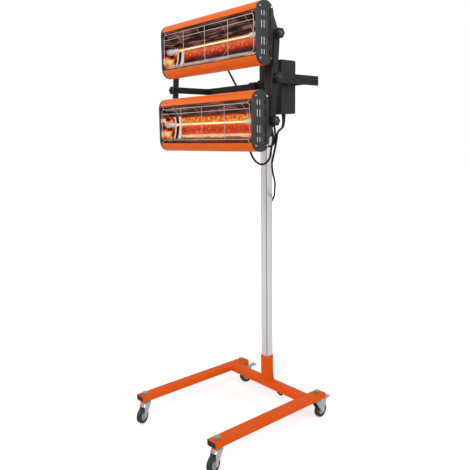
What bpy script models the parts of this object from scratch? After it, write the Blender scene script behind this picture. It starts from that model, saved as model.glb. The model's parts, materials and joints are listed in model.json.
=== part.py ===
"""Infrared paint curing lamp: two quartz heads on a tilting mast, carried by a yoke on a wheeled stand.

X runs along the heads, Y runs from the front to the back, Z is up and the floor is at zero.
Lengths are in metres. Every piece is built in the frame of the joint that carries it.
"""

import math

import bmesh
import bpy
import numpy as np
from mathutils import Matrix, Vector

mm = 0.001

# Fits that all pieces share
SEAT_GAP = 0.3 * mm
PIN_GAP = 0.4 * mm
OVERRUN = 3 * mm
ROUND_STEPS = 2

# Base: two rails and a crossbar of rectangular tube, with the socket of the post
RAIL_WIDTH = 40 * mm
RAIL_HEIGHT = 20 * mm
RAIL_WALL = 2 * mm
RAIL_CORNER = 3 * mm
RAIL_LENGTH = 466 * mm
RAIL_SPACING = 381 * mm
BASE_MIDDLE_Y = 1.35 * mm
POST_Y = 169.7 * mm
SOCKET_WALL = 2 * mm
SOCKET_HEIGHT = 90.5 * mm
SOCKET_BOLT_HEIGHT = 42 * mm
SOCKET_BOLT_RADIUS = 5.5 * mm
SOCKET_BOLT_HEAD = 4 * mm
PLUG_FLANGE = 2.5 * mm
PLUG_STUB = 14 * mm
PLUG_RELIEF = 3 * mm

# Casters
WHEEL_RADIUS = 25 * mm
WHEEL_WIDTH = 17 * mm
WHEEL_SIDES = 28
WHEEL_TREAD = 10 * mm
WHEEL_HUB_RADIUS = 8 * mm
WHEEL_WEB_RADIUS = 15.5 * mm
WHEEL_WEB_RECESS = 1.6 * mm
TYRE_SHOULDER = 2 * mm
AXLE_RADIUS = 3.5 * mm
AXLE_HEAD_RADIUS = 6 * mm
AXLE_HEAD = 2.5 * mm
CASTER_HEIGHT = 72 * mm
CASTER_TRAIL = 21 * mm
CASTER_INSET = 18 * mm
FORK_SHEET = 2 * mm
FORK_PLATE = 3 * mm
FORK_HALF_LENGTH = 15 * mm
FORK_SIDE_GAP = 1.5 * mm
FORK_FOOT_RADIUS = 7.5 * mm
RACE_RADIUS = 15.5 * mm
RACE_HEIGHT = 6.2 * mm
KINGPIN_RADIUS = 4 * mm
KINGPIN_HEAD_RADIUS = 7 * mm
KINGPIN_HEAD = 3.2 * mm
STEM_NUT_RADIUS = 9.5 * mm
STEM_NUT_HEIGHT = 6 * mm
STEM_WASHER_RADIUS = 11 * mm
STEM_WASHER = 1.5 * mm
SWIVEL_ANGLES = {"front_left": 204.5, "front_right": 196.0, "rear_left": 350.0, "rear_right": 6.8}

# Brake pedal of the rear casters
PEDAL_PIN_BACK = 33 * mm
PEDAL_PIN_HEIGHT = 55 * mm
PEDAL_PIN_RADIUS = 2.4 * mm
PEDAL_BARREL_RADIUS = 5 * mm
PEDAL_SHOE_RADIUS = 6.7 * mm
PEDAL_SHOE_ANGLE = 268
PEDAL_LENGTH = 30 * mm
PEDAL_SHEET = 2.5 * mm
PEDAL_RISE = 7 * mm
PEDAL_HALF_WIDTH = 11.5 * mm
EAR_RADIUS = 5.5 * mm

# Post
LOWER_POST_SIDE = 28 * mm
LOWER_POST_WALL = 2 * mm
LOWER_POST_BELOW_CAP = 68 * mm
POST_CORNER = 2 * mm
SLEEVE_GAP = 0.35 * mm
SLEEVE_WALL = 1.65 * mm
SLEEVE_BELOW_ARMS = 155.8 * mm
SLEEVE_ABOVE_ARMS = 226.2 * mm
SLEEVE_CAP = 4 * mm
SLEEVE_NUT_SIDE = 16 * mm
SLEEVE_NUT_DEPTH = 6 * mm
HEIGHT_KNOB_ABOVE_END = 22 * mm
STOP_SCREW_RADIUS = 3.2 * mm
STOP_SCREW_HEAD = 2 * mm
STOP_SCREW_ABOVE_ARMS = 52 * mm
STOP_SCREW_FROM_EDGE = 4.5 * mm
CLIP_HEIGHT = 705 * mm
CLIP_WALL = 2.2 * mm
CLIP_LENGTH = 9 * mm

# Yoke
ARM_HEIGHT = 1091.8 * mm
CROSSBAR_FRONT = 113 * mm
BAR_TALL = 20 * mm
BAR_SHEET = 5 * mm
BAR_BEND_RADIUS = 7 * mm
BAR_FLANGE = 30 * mm
RIGHT_ARM_TALL = 26 * mm
RIGHT_ARM_REAR = 148 * mm
RIVET_RADIUS = 3 * mm
RIVET_HEAD_RADIUS = 5 * mm
RIVET_HEAD = 2 * mm
RIVET_SPACING = 13 * mm
HUB_HALF_HEIGHT = 22 * mm
HUB_WALL = 5 * mm
HUB_BOSS_RADIUS = 15 * mm
HUB_CORNER = 3 * mm
PIVOT_STUD_RADIUS = 4 * mm
PIVOT_STUD_PROUD = 1.5 * mm

# Mast: two flat uprights that carry the heads
MAST_PIVOT_Y = -22.8 * mm
MAST_LEAN = 4.3
HEAD_PITCH = 115 * mm
UPRIGHT_WIDTH = 20 * mm
UPRIGHT_SHEET = 5 * mm
UPRIGHT_PAST_PIVOT = 11.5 * mm
BOLT_HEAD_RADIUS = 7.5 * mm
BOLT_HEAD = 4.5 * mm
BOLT_SOCKET_RADIUS = 3.5 * mm
BOLT_SOCKET_DEPTH = 2.5 * mm

# Clamp knobs
KNOB_RADIUS = 14 * mm
KNOB_LOBE = 1.1 * mm
KNOB_LOBES = 6
KNOB_POINTS = 24
KNOB_THICK = 16 * mm
KNOB_EDGE = 2 * mm
KNOB_DISH = 1.5 * mm
KNOB_NECK = 3 * mm
KNOB_NECK_RADIUS = 9 * mm
STUD_RADIUS = 3 * mm
STUD_SIDES = 12

# Lamp heads
HEAD_LENGTH = 450 * mm
HEAD_TALL = 165 * mm
HEAD_DEEP = 60 * mm
HEAD_FORWARD = 35 * mm
SHELL_SHEET = 1.5 * mm
SHELL_LIP_ANGLE = 13
SHELL_RETURN = 5 * mm
CAP_THICK = 8 * mm
CAP_WALL = 2 * mm
CAP_SCREW_ACROSS = 19.5 * mm
CAP_SCREW_UP = 65.6 * mm
CAP_SCREW_RADIUS = 3 * mm
CAP_SCREW_HEAD = 1.4 * mm
SLOT_WIDTH = 4 * mm
SLOT_PITCH = 9.2 * mm
SLOT_COLUMNS = 4
SLOT_ROWS = ((10 * mm, 32.5 * mm), (41 * mm, 57 * mm))
NOTCH_ROW = (60.5 * mm, 63.5 * mm)
NOTCH_WIDTH = 3 * mm
BRACKET_SHEET = 3 * mm
BRACKET_SINK = 0.5 * mm
BRACKET_EDGE = 17 * mm
BRACKET_TOP = 69 * mm
BRACKET_BOSS_RADIUS = 13 * mm
HOLDER_RADIUS = 9.5 * mm
HOLDER_REACH = 12 * mm
REFLECTOR_SHEET = 1 * mm
REFLECTOR_HALF_MOUTH = 55.5 * mm
REFLECTOR_FRONT = -22.5 * mm
REFLECTOR_BACK = 17 * mm
REFLECTOR_POINTS = 17
REFLECTOR_LIP = 2.2 * mm
QUARTZ_RADIUS = 5.5 * mm
TUBE_FORWARD = -2.6 * mm
CERAMIC_RADIUS = 7 * mm
CERAMIC_LENGTH = 50 * mm
CERAMIC_NECK = 4 * mm
WIRE_RADIUS = 1.5 * mm
WIRE_SIDES = 6
GRILLE_HALF_LENGTH = 209 * mm
GRILLE_HALF_TALL = 48 * mm
GRILLE_SECOND_WIRE = 15 * mm
GRILLE_BAYS = 4
GRILLE_CORNER = 8 * mm
GRILLE_AHEAD = 1.5 * mm
GRILLE_LEG_OUT = 5 * mm
GRILLE_LEG_BACK = 2.5 * mm
GRILLE_LEG_UP = 9 * mm
THIN_WIRE_SHARE = 0.92
EVEN_THINNER_SHARE = 0.84
HEAD_GLAND_RADIUS = 8 * mm
HEAD_GLAND_LENGTH = 10 * mm
GLAND_HEX_SHARE = 0.45
GLAND_TIP_SHARE = 0.85
HEAD_GLAND_SIDE = -40 * mm
HEAD_GLAND_SIDE_LOWER = 118 * mm

# Control box
BOX_STANDOFF = 22.5 * mm
BOX_WIDE = 70 * mm
BOX_DEEP = 57 * mm
BOX_TALL = 146.5 * mm
BOX_FRONT = 24 * mm
BOX_BELOW_ARMS = 92.8 * mm
BOX_WALL = 2.5 * mm
BOX_CORNER = 3 * mm
COVER_SHEET = 2.5 * mm
BOSS_RADIUS = 6 * mm
BOSS_SPACING = 25 * mm
GLAND_RADIUS = 5.4 * mm
GLAND_LENGTH = 18 * mm
GLAND_PLACES = ((190 * mm, 55.5 * mm), (165 * mm, 42 * mm), (150 * mm, 42 * mm))
DIAL_RADIUS = 19 * mm
DIAL_GRIP_RADIUS = 11 * mm
DIAL_SKIRT = 3 * mm
DIAL_TALL = 15 * mm
DIAL_ABOVE_MIDDLE = 32 * mm
DIAL_SPINDLE_RADIUS = 3 * mm
DIAL_TAPER_SHARE = 0.9
SWITCH_WIDE = 13 * mm
SWITCH_TALL = 20 * mm
SWITCH_BEZEL = 2.2 * mm
SWITCH_BEZEL_PROUD = 2 * mm
SWITCH_ROCK = 8
SWITCH_SPACING = 26 * mm
SWITCH_BELOW_MIDDLE = 30 * mm
SWITCH_DEPTH = 5 * mm

# Leads
MAINS_DIAMETER = 6.2 * mm
HEAD_LEAD_DIAMETER = 6 * mm
LEAD_STEP_DIAMETERS = 5
HANK_FOLD_RADIUS = 18.6 * mm
HANK_HALF_RUN = 48.5 * mm
HANK_SIDE_STEP = 7.1 * mm
HANK_LAYER_STEP = 7.1 * mm
HANK_DRAW_IN = 4 * mm
HANK_CENTRE_X = -77.5 * mm
HANK_FRONT_Y = 258.8 * mm
HANK_TAIL_SHIFT = -16 * mm
HANK_TAIL_LENGTH = 40 * mm
HANK_FOLD_STEPS = 7
HANK_RUN_STEPS = 5
HANK_TAIL_STEPS = 4
PLUG_WIDE = 26 * mm
PLUG_TALL = 19.6 * mm
PLUG_BODY = 32 * mm
PLUG_TAPER = 18 * mm
PLUG_CORNER = 6 * mm
PLUG_SHOULDER_SHARE = 0.93
BLADE_LENGTH = 15 * mm
BLADE_TALL = 6.5 * mm
BLADE_SHEET = 1.6 * mm
BLADE_SPACING = 12.7 * mm
EARTH_PIN_RADIUS = 2.4 * mm
EARTH_PIN_DROP = 3 * mm

# Routes of the leads in millimetres: from the box to the clip, from the clip to the hank, and to each head
BOX_LEAD_POINTS = [
    (190, 55.5, 984), (190, 55.5, 979.5), (190.6, 53.1, 968.3), (192.4, 46.4, 959.7), (195, 36.5, 955),
    (197.6, 26.6, 950.3), (199.4, 19.9, 941.7), (200, 17, 930), (199.8, 13.5, 913), (197.5, 10, 893),
    (190.5, 11.5, 876), (179, 19.5, 864), (165, 32.8, 853.5), (120, 82.8, 819.9), (70, 140.1, 783),
    (38, 170, 757), (21.5, 185, 743), (9.5, 191, 731), (2, 189.6, 718), (0, 188.2, 709), (0, 188.2, 705),
]
MAINS_LEAD_POINTS = [
    (0, 188.2, 700), (-0.5, 188.8, 660), (-1, 189, 550), (-1, 189, 400), (-2, 189.5, 280), (-4, 192, 190),
    (-4, 197, 130), (-4, 201, 100), (-4, 204, 78), (-3, 212, 50), (-2, 223, 26), (-1.3, 235, 11),
    (-3.8, 247, 4.9), (-11.5, 256.5, 3.5), (-21.5, 261.2, 3.3),
]
UPPER_LEAD_POINTS = [
    (-40, -15.5, 1206.5), (-40, -8.5, 1206.5), (-37, 3, 1199), (-25, 12, 1170), (-4, 14.9, 1134),
    (20, 15.7, 1101), (45, 15.3, 1068.5), (80, 9, 1032), (120, 0, 995), (144, -3, 955), (155, 1, 929),
    (165, 6.5, 913), (177, 12.5, 908), (187, 17.5, 914.5), (190, 20, 928), (188, 23, 941), (182, 28, 951.5),
    (174, 34.5, 960), (167.5, 40, 969), (165, 42, 979.5), (165, 42, 984),
]
LOWER_LEAD_POINTS = [
    (118, -33, 977), (118, -26, 977), (118, -15, 970), (118, -10, 950), (117, -9, 915), (118.5, -9.5, 893),
    (129, -10.5, 877), (145, -12, 864), (165, -8.5, 857), (181, -4.5, 863), (189.5, 0.5, 879), (192, 2.8, 898),
    (193.5, 6.3, 918), (192, 10.5, 934), (184, 16.5, 946.5), (172, 25.5, 954.5), (160, 34.5, 961.5),
    (152.5, 40, 970), (150, 42, 979.5), (150, 42, 984),
]

# Sizes that follow from the ones above
RAIL_TOP = CASTER_HEIGHT + RAIL_HEIGHT
RAIL_X = RAIL_SPACING / 2
AXLE_HEIGHT = WHEEL_RADIUS * math.cos(math.pi / WHEEL_SIDES)
SLEEVE_SIDE = LOWER_POST_SIDE + 2 * (SLEEVE_GAP + SLEEVE_WALL)
SOCKET_SIDE = LOWER_POST_SIDE + 2 * (SEAT_GAP + SOCKET_WALL)
CAP_FACE = HEAD_LENGTH / 2
BRACKET_FACE = CAP_FACE + BRACKET_SHEET
UPRIGHT_INNER = BRACKET_FACE + 2 * SEAT_GAP
UPRIGHT_OUTER = UPRIGHT_INNER + UPRIGHT_SHEET
ARM_INNER = UPRIGHT_OUTER + SEAT_GAP
ARM_OUTER = ARM_INNER + BAR_SHEET
BOX_RIGHT = ARM_INNER - BOX_STANDOFF
BOX_BOTTOM = ARM_HEIGHT - BOX_BELOW_ARMS
SLEEVE_BOTTOM = ARM_HEIGHT - SLEEVE_BELOW_ARMS
SLEEVE_TOP = ARM_HEIGHT + SLEEVE_ABOVE_ARMS
LOWER_POST_TOP = SLEEVE_TOP - LOWER_POST_BELOW_CAP


# Basic solids


def new_object(name, bm):
    """Link the mesh as an object with its faces pointing out."""
    bmesh.ops.recalc_face_normals(bm, faces=bm.faces)
    mesh = bpy.data.meshes.new(name)
    bm.to_mesh(mesh)
    bm.free()
    obj = bpy.data.objects.new(name, mesh)
    bpy.context.scene.collection.objects.link(obj)
    return obj


def lofted(rings, ring_shaped=False):
    """Skin between rings with the same number of points; a ring-shaped solid joins its last ring to its first."""
    bm = bmesh.new()
    loops = [[bm.verts.new(point) for point in ring] for ring in rings]
    pairs = list(zip(loops, loops[1:]))
    if ring_shaped:
        pairs.append((loops[-1], loops[0]))
    for low, high in pairs:
        for i in range(len(low)):
            j = (i + 1) % len(low)
            bm.faces.new((low[i], low[j], high[j], high[i]))
    if not ring_shaped:
        bm.faces.new(loops[0][::-1])
        bm.faces.new(loops[-1])
    return new_object("solid", bm)


def along(axis, across, up, height):
    """The point at (across, up) in the plane square to an axis, at a height along that axis."""
    if axis == "X":
        return (height, across, up)
    if axis == "Y":
        return (across, height, up)
    return (across, up, height)


def prism(outline, low, high, axis):
    """Extrude an outline along an axis from low to high."""
    return lofted([[along(axis, a, b, h) for a, b in outline] for h in (low, high)])


def turned(profile, axis, sides, centre=(0, 0), ring_shaped=False):
    """Turn a profile of (radius, height) pairs about an axis, with a flat of the polygon facing down."""
    angles = [2 * math.pi * (k + 0.5) / sides - math.pi / 2 for k in range(sides)]
    rings = []
    for radius, height in profile:
        points = [(centre[0] + radius * math.cos(a), centre[1] + radius * math.sin(a)) for a in angles]
        rings.append([along(axis, a, b, height) for a, b in points])
    return lofted(rings, ring_shaped)


def cylinder(radius, low, high, axis, sides=STUD_SIDES, centre=(0, 0)):
    return turned(((radius, low), (radius, high)), axis, sides, centre)


def box(low, high):
    """A block between two corners."""
    (x0, y0, z0), (x1, y1, z1) = low, high
    return prism(((x0, y0), (x1, y0), (x1, y1), (x0, y1)), z0, z1, "Z")


def together(objects):
    """Several solids that don't touch, as one object for a single cut or union."""
    bm = bmesh.new()
    for obj in objects:
        bm.from_mesh(obj.data)
        bpy.data.objects.remove(obj)
    return new_object("tools", bm)


def combined(target, tools, operation):
    """Apply exact booleans and delete the tools."""
    for tool in tools:
        modifier = target.modifiers.new(operation, "BOOLEAN")
        modifier.operation = operation
        modifier.solver = "EXACT"
        modifier.object = tool
    bpy.context.view_layer.update()
    graph = bpy.context.evaluated_depsgraph_get()
    mesh = bpy.data.meshes.new_from_object(target.evaluated_get(graph))
    target.modifiers.clear()
    target.data = mesh
    for tool in tools:
        bpy.data.objects.remove(tool)
    return target


def joined(target, *tools):
    return combined(target, tools, "UNION")


def cut(target, *tools):
    return combined(target, tools, "DIFFERENCE")


def kept(target, *tools):
    return combined(target, tools, "INTERSECT")


# Outlines


def arc(centre, radius, start, end, steps):
    """Points on an arc, with its angles in degrees."""
    angles = [math.radians(start + (end - start) * k / steps) for k in range(steps + 1)]
    return [(centre[0] + radius * math.cos(a), centre[1] + radius * math.sin(a)) for a in angles]


def rounded(width, height, radius, centre=(0, 0), steps=ROUND_STEPS):
    """A rectangle with rounded corners."""
    points = []
    for quarter, (sx, sy) in enumerate(((1, 1), (-1, 1), (-1, -1), (1, -1))):
        corner = (centre[0] + sx * (width / 2 - radius), centre[1] + sy * (height / 2 - radius))
        points += arc(corner, radius, 90 * quarter, 90 * quarter + 90, steps)
    return points


def slot(width, length, centre=(0, 0), steps=6):
    """An upright slot with round ends."""
    rise = (length - width) / 2
    top = arc((centre[0], centre[1] + rise), width / 2, 0, 180, steps)
    return top + arc((centre[0], centre[1] - rise), width / 2, 180, 360, steps)


def sheet(path, thickness):
    """The closed outline of a bent sheet whose middle follows a path, with mitred corners."""
    points = [Vector(p) for p in path]
    sides = [(b - a).normalized() for a, b in zip(points, points[1:])]
    left, right = [], []
    for i, point in enumerate(points):
        before = sides[max(i - 1, 0)]
        after = sides[min(i, len(sides) - 1)]
        normal = Vector((-before.y - after.y, before.x + after.x)).normalized()
        reach = thickness / 2 / normal.dot(Vector((-before.y, before.x)))
        left.append(tuple(point + normal * reach))
        right.append(tuple(point - normal * reach))
    return left + right[::-1]


def square_tube(width, height, wall, corner, low, high, axis, centre=(0, 0)):
    """A rectangular tube with rounded edges, open at both ends."""
    tube = prism(rounded(width, height, corner, centre), low, high, axis)
    inner = rounded(width - 2 * wall, height - 2 * wall, max(corner - wall, corner / 3), centre)
    return cut(tube, prism(inner, low - OVERRUN, high + OVERRUN, axis))


# Placing


MATERIALS = {
    "orange_paint": ((0.80, 0.12, 0.012), 0.35, 0.0),
    "base_paint": ((0.75, 0.09, 0.02), 0.4, 0.0),
    "black_paint": ((0.03, 0.03, 0.03), 0.5, 0.0),
    "black_plastic": ((0.02, 0.02, 0.02), 0.55, 0.0),
    "silver_steel": ((0.72, 0.73, 0.75), 0.35, 0.9),
    "zinc_steel": ((0.6, 0.62, 0.66), 0.35, 1.0),
    "chrome_wire": ((0.85, 0.85, 0.87), 0.15, 1.0),
    "polished_aluminium": ((0.9, 0.88, 0.84), 0.12, 1.0),
    "glowing_quartz": ((1.0, 0.45, 0.12), 0.1, 0.0),
    "tyre_rubber": ((0.03, 0.045, 0.04), 0.7, 0.0),
    "black_cable": ((0.015, 0.015, 0.015), 0.6, 0.0),
}


def principled(name, finish):
    """A material of its own for one piece."""
    colour, roughness, metallic = MATERIALS[finish]
    material = bpy.data.materials.new(name)
    material.use_nodes = True
    shader = material.node_tree.nodes["Principled BSDF"]
    shader.inputs["Base Color"].default_value = (*colour, 1)
    shader.inputs["Roughness"].default_value = roughness
    shader.inputs["Metallic"].default_value = metallic
    return material


def piece(obj, name, parent, finish, origin=(0, 0, 0), smooth_angle=30):
    """Name a solid, give it its material and origin, and hang it on the frame that carries it."""
    obj.name = name
    obj.data.name = name
    obj.data.transform(Matrix.Translation(-Vector(origin)))
    obj.location = origin
    obj.parent = parent
    obj.data.materials.clear()
    obj.data.materials.append(principled(name, finish))
    obj.data.shade_smooth()
    obj.data.set_sharp_from_angle(angle=math.radians(smooth_angle))
    return obj


def pivot(name, parent, location, rotation=(0, 0, 0)):
    """An empty at a joint, with its turn in degrees."""
    empty = bpy.data.objects.new(name, None)
    bpy.context.scene.collection.objects.link(empty)
    empty.parent = parent
    empty.location = location
    empty.rotation_euler = [math.radians(a) for a in rotation]
    return empty


# Clamp knobs


def lobed_ring(radius, height, lobe, axis, centre):
    """A ring of the knob's outline; without a lobe it is a circle."""
    ring = []
    for k in range(KNOB_POINTS):
        angle = 2 * math.pi * k / KNOB_POINTS
        reach = radius - lobe + lobe * math.cos(KNOB_LOBES * angle)
        across = centre[0] + reach * math.cos(angle)
        ring.append(along(axis, across, centre[1] + reach * math.sin(angle), height))
    return ring


def clamp_knob(axis, base, way, centre=(0, 0)):
    """A lobed knob with its back at base; way is 1 or -1 along the axis."""
    edge = KNOB_EDGE / 2
    rings = (
        (KNOB_NECK_RADIUS, 0, 0),
        (KNOB_NECK_RADIUS, KNOB_NECK, 0),
        (KNOB_RADIUS - edge, KNOB_NECK, KNOB_LOBE),
        (KNOB_RADIUS, KNOB_NECK + KNOB_EDGE, KNOB_LOBE),
        (KNOB_RADIUS, KNOB_THICK - KNOB_EDGE, KNOB_LOBE),
        (KNOB_RADIUS - KNOB_EDGE, KNOB_THICK, KNOB_LOBE / 2),
        (KNOB_NECK_RADIUS, KNOB_THICK - KNOB_DISH, 0),
    )
    return lofted([lobed_ring(r, base + way * h, lobe, axis, centre) for r, h, lobe in rings])


def knob_with_stud(axis, base, way, stud_end, radius, centre=(0, 0)):
    """A knob on its own threaded stud, which runs back through the work."""
    stud = cylinder(radius, stud_end, base + way * KNOB_NECK, axis, centre=centre)
    return joined(clamp_knob(axis, base, way, centre), stud)


def knob_with_bore(axis, base, way, radius, centre=(0, 0)):
    """A knob with a bore that takes the stud of the piece behind it."""
    bore = cylinder(radius, base - way * OVERRUN, base + way * (KNOB_THICK + OVERRUN), axis, centre=centre)
    return cut(clamp_knob(axis, base, way, centre), bore)


# Base


def caster_place(end):
    """How far back a caster's stem stands, for the front (-1) or the rear (1) end of a rail."""
    return BASE_MIDDLE_Y + end * (RAIL_LENGTH / 2 - CASTER_INSET)


def rail(side):
    """A rectangular tube along Y with holes for its two caster stems."""
    x = side * RAIL_X
    middle = (x, CASTER_HEIGHT + RAIL_HEIGHT / 2)
    low, high = BASE_MIDDLE_Y - RAIL_LENGTH / 2, BASE_MIDDLE_Y + RAIL_LENGTH / 2
    tube = square_tube(RAIL_WIDTH, RAIL_HEIGHT, RAIL_WALL, RAIL_CORNER, low, high, "Y", middle)
    bore = KINGPIN_RADIUS + PIN_GAP
    holes = [
        cylinder(bore, CASTER_HEIGHT - OVERRUN, RAIL_TOP + OVERRUN, "Z", centre=(x, caster_place(end)))
        for end in (-1, 1)
    ]
    return cut(tube, together(holes))


def rail_plug(side, end):
    """A moulded end plug: a flange with a raised rim and a stub that sits in the tube."""
    middle = (side * RAIL_X, CASTER_HEIGHT + RAIL_HEIGHT / 2)
    face = BASE_MIDDLE_Y + end * (RAIL_LENGTH / 2 + SEAT_GAP)
    outer = face + end * PLUG_FLANGE
    flange = prism(rounded(RAIL_WIDTH, RAIL_HEIGHT, RAIL_CORNER, middle), face, outer, "Y")
    inside = 2 * (RAIL_WALL + SEAT_GAP)
    stub_outline = rounded(RAIL_WIDTH - inside, RAIL_HEIGHT - inside, RAIL_CORNER / 3, middle)
    stub = prism(stub_outline, face - end * (PLUG_STUB / 3), face + end * PLUG_FLANGE / 2, "Y")
    recess = rounded(RAIL_WIDTH - 2 * PLUG_RELIEF, RAIL_HEIGHT - 2 * PLUG_RELIEF, RAIL_CORNER / 2, middle)
    dish = prism(recess, outer - end * PLUG_FLANGE / 3, outer + end * OVERRUN, "Y")
    return cut(joined(flange, stub), dish)


def crossbar():
    """The tube between the rails, butted to their inner walls."""
    reach = RAIL_X - RAIL_WIDTH / 2 - SEAT_GAP
    middle = (POST_Y, CASTER_HEIGHT + RAIL_HEIGHT / 2)
    return square_tube(RAIL_WIDTH, RAIL_HEIGHT, RAIL_WALL, RAIL_CORNER, -reach, reach, "X", middle)


def post_socket():
    """The square socket that stands on the crossbar, with its clamp bolt."""
    low = RAIL_TOP + SEAT_GAP
    corner = POST_CORNER + SOCKET_WALL
    tube = square_tube(SOCKET_SIDE, SOCKET_SIDE, SOCKET_WALL, corner, low, low + SOCKET_HEIGHT, "Z", (0, POST_Y))
    face = SOCKET_SIDE / 2
    centre = (POST_Y, low + SOCKET_BOLT_HEIGHT)
    head = cylinder(SOCKET_BOLT_RADIUS, face - SOCKET_WALL / 2, face + SOCKET_BOLT_HEAD, "X", 6, centre)
    return joined(tube, head)


# Casters, built about the swivel axis with the wheel trailing along Y


def caster_stem():
    """The bolt through the rail, the race under it and the kingpin that the fork turns on."""
    race_low = CASTER_HEIGHT - SEAT_GAP - RACE_HEIGHT
    fork_low = race_low - SEAT_GAP - FORK_PLATE
    head_top = fork_low - SEAT_GAP
    washer_low = RAIL_TOP + SEAT_GAP
    profile = (
        (KINGPIN_HEAD_RADIUS, head_top - KINGPIN_HEAD),
        (KINGPIN_HEAD_RADIUS, head_top),
        (KINGPIN_RADIUS, head_top),
        (KINGPIN_RADIUS, race_low),
        (RACE_RADIUS, race_low),
        (RACE_RADIUS, race_low + RACE_HEIGHT / 2),
        (RACE_RADIUS - RACE_HEIGHT / 2, CASTER_HEIGHT - SEAT_GAP),
        (KINGPIN_RADIUS, CASTER_HEIGHT - SEAT_GAP),
        (KINGPIN_RADIUS, washer_low),
        (STEM_WASHER_RADIUS, washer_low),
        (STEM_WASHER_RADIUS, washer_low + STEM_WASHER),
        (KINGPIN_RADIUS, washer_low + STEM_WASHER),
        (KINGPIN_RADIUS, washer_low + STEM_WASHER + STEM_NUT_HEIGHT / 2),
    )
    stem = turned(profile, "Z", 16)
    nut_low = washer_low + STEM_WASHER / 2
    nut = cylinder(STEM_NUT_RADIUS, nut_low, washer_low + STEM_WASHER + STEM_NUT_HEIGHT, "Z", 6)
    return joined(stem, nut)


def fork_leg_outline(with_brake):
    """The side of the fork, from its plate down to the axle, with an ear for the pedal's pin."""
    top = CASTER_HEIGHT - 2 * SEAT_GAP - RACE_HEIGHT
    axle = (CASTER_TRAIL, AXLE_HEIGHT)
    points = [(-FORK_HALF_LENGTH, top), (-FORK_HALF_LENGTH, top - 2 * FORK_PLATE)]
    points += arc(axle, FORK_FOOT_RADIUS, 200, 370, 8)
    if with_brake:
        points += arc((PEDAL_PIN_BACK, PEDAL_PIN_HEIGHT), EAR_RADIUS, -20, 110, 6)
    else:
        points.append((FORK_HALF_LENGTH + FORK_PLATE, top - 2 * FORK_PLATE))
    points.append((FORK_HALF_LENGTH, top))
    return points


def caster_fork(with_brake):
    """A pressed fork with its axle bolt, and the pedal's pin where there is a brake."""
    inner = WHEEL_WIDTH / 2 + FORK_SIDE_GAP
    outer = inner + FORK_SHEET
    top = CASTER_HEIGHT - 2 * SEAT_GAP - RACE_HEIGHT
    fork = prism(fork_leg_outline(with_brake), -outer, outer, "X")
    back = PEDAL_PIN_BACK + EAR_RADIUS + OVERRUN
    gap = box((-inner, -FORK_HALF_LENGTH - OVERRUN, 0), (inner, back, top - FORK_PLATE))
    throat = box((-inner, FORK_HALF_LENGTH, 0), (inner, back, top + OVERRUN))
    hole = cylinder(KINGPIN_RADIUS + PIN_GAP, top - FORK_PLATE - OVERRUN, top + OVERRUN, "Z")
    fork = cut(fork, gap, throat, hole)
    axle = (CASTER_TRAIL, AXLE_HEIGHT)
    bolt = turned(
        (
            (AXLE_HEAD_RADIUS, -outer - AXLE_HEAD),
            (AXLE_HEAD_RADIUS, -outer + FORK_SHEET / 2),
            (AXLE_RADIUS, -outer + FORK_SHEET / 2),
            (AXLE_RADIUS, outer - FORK_SHEET / 2),
            (AXLE_HEAD_RADIUS, outer - FORK_SHEET / 2),
            (AXLE_HEAD_RADIUS, outer + AXLE_HEAD),
        ),
        "X",
        STUD_SIDES,
        axle,
    )
    fork = joined(fork, bolt)
    if with_brake:
        centre = (PEDAL_PIN_BACK, PEDAL_PIN_HEIGHT)
        fork = joined(fork, cylinder(PEDAL_PIN_RADIUS, -outer + FORK_SHEET / 2, outer - FORK_SHEET / 2, "X", 12, centre))
    return fork


def caster_wheel():
    """Tyre, web and hub turned about the axle."""
    half = WHEEL_WIDTH / 2
    hub = half + FORK_SIDE_GAP - PIN_GAP
    web = half - WHEEL_WEB_RECESS
    bore = AXLE_RADIUS + PIN_GAP
    side = (
        (bore, hub),
        (WHEEL_HUB_RADIUS, hub),
        (WHEEL_WEB_RADIUS, web),
        (WHEEL_RADIUS - TYRE_SHOULDER, half),
        (WHEEL_RADIUS, WHEEL_TREAD / 2),
    )
    profile = [(r, -h) for r, h in side] + list(side[::-1])
    return turned(profile, "X", WHEEL_SIDES, ring_shaped=True)


def brake_pedal():
    """The pedal about its pin: a barrel with a shoe for the tyre and a lever to step on."""
    reach = WHEEL_WIDTH / 2 + FORK_SIDE_GAP - PIN_GAP
    outline = arc((0, 0), PEDAL_BARREL_RADIUS, -60, 235, 14)
    shoe = math.radians(PEDAL_SHOE_ANGLE)
    outline.append((PEDAL_SHOE_RADIUS * math.cos(shoe), PEDAL_SHOE_RADIUS * math.sin(shoe)))
    barrel = prism(outline, -reach, reach, "X")
    lever_path = (
        (0, PEDAL_BARREL_RADIUS - PEDAL_SHEET / 2),
        (PEDAL_LENGTH / 3, PEDAL_BARREL_RADIUS - PEDAL_SHEET / 2),
        (PEDAL_LENGTH, PEDAL_RISE),
    )
    barrel = joined(barrel, prism(sheet(lever_path, PEDAL_SHEET), -reach, reach, "X"))
    tread_path = ((PEDAL_LENGTH / 2, PEDAL_RISE - PEDAL_SHEET), (PEDAL_LENGTH, PEDAL_RISE + PEDAL_SHEET / 3))
    tread = prism(sheet(tread_path, PEDAL_SHEET), -PEDAL_HALF_WIDTH, PEDAL_HALF_WIDTH, "X")
    bore = cylinder(PEDAL_PIN_RADIUS + PIN_GAP, -reach - OVERRUN, reach + OVERRUN, "X", 12)
    return cut(joined(barrel, tread), bore)


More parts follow.
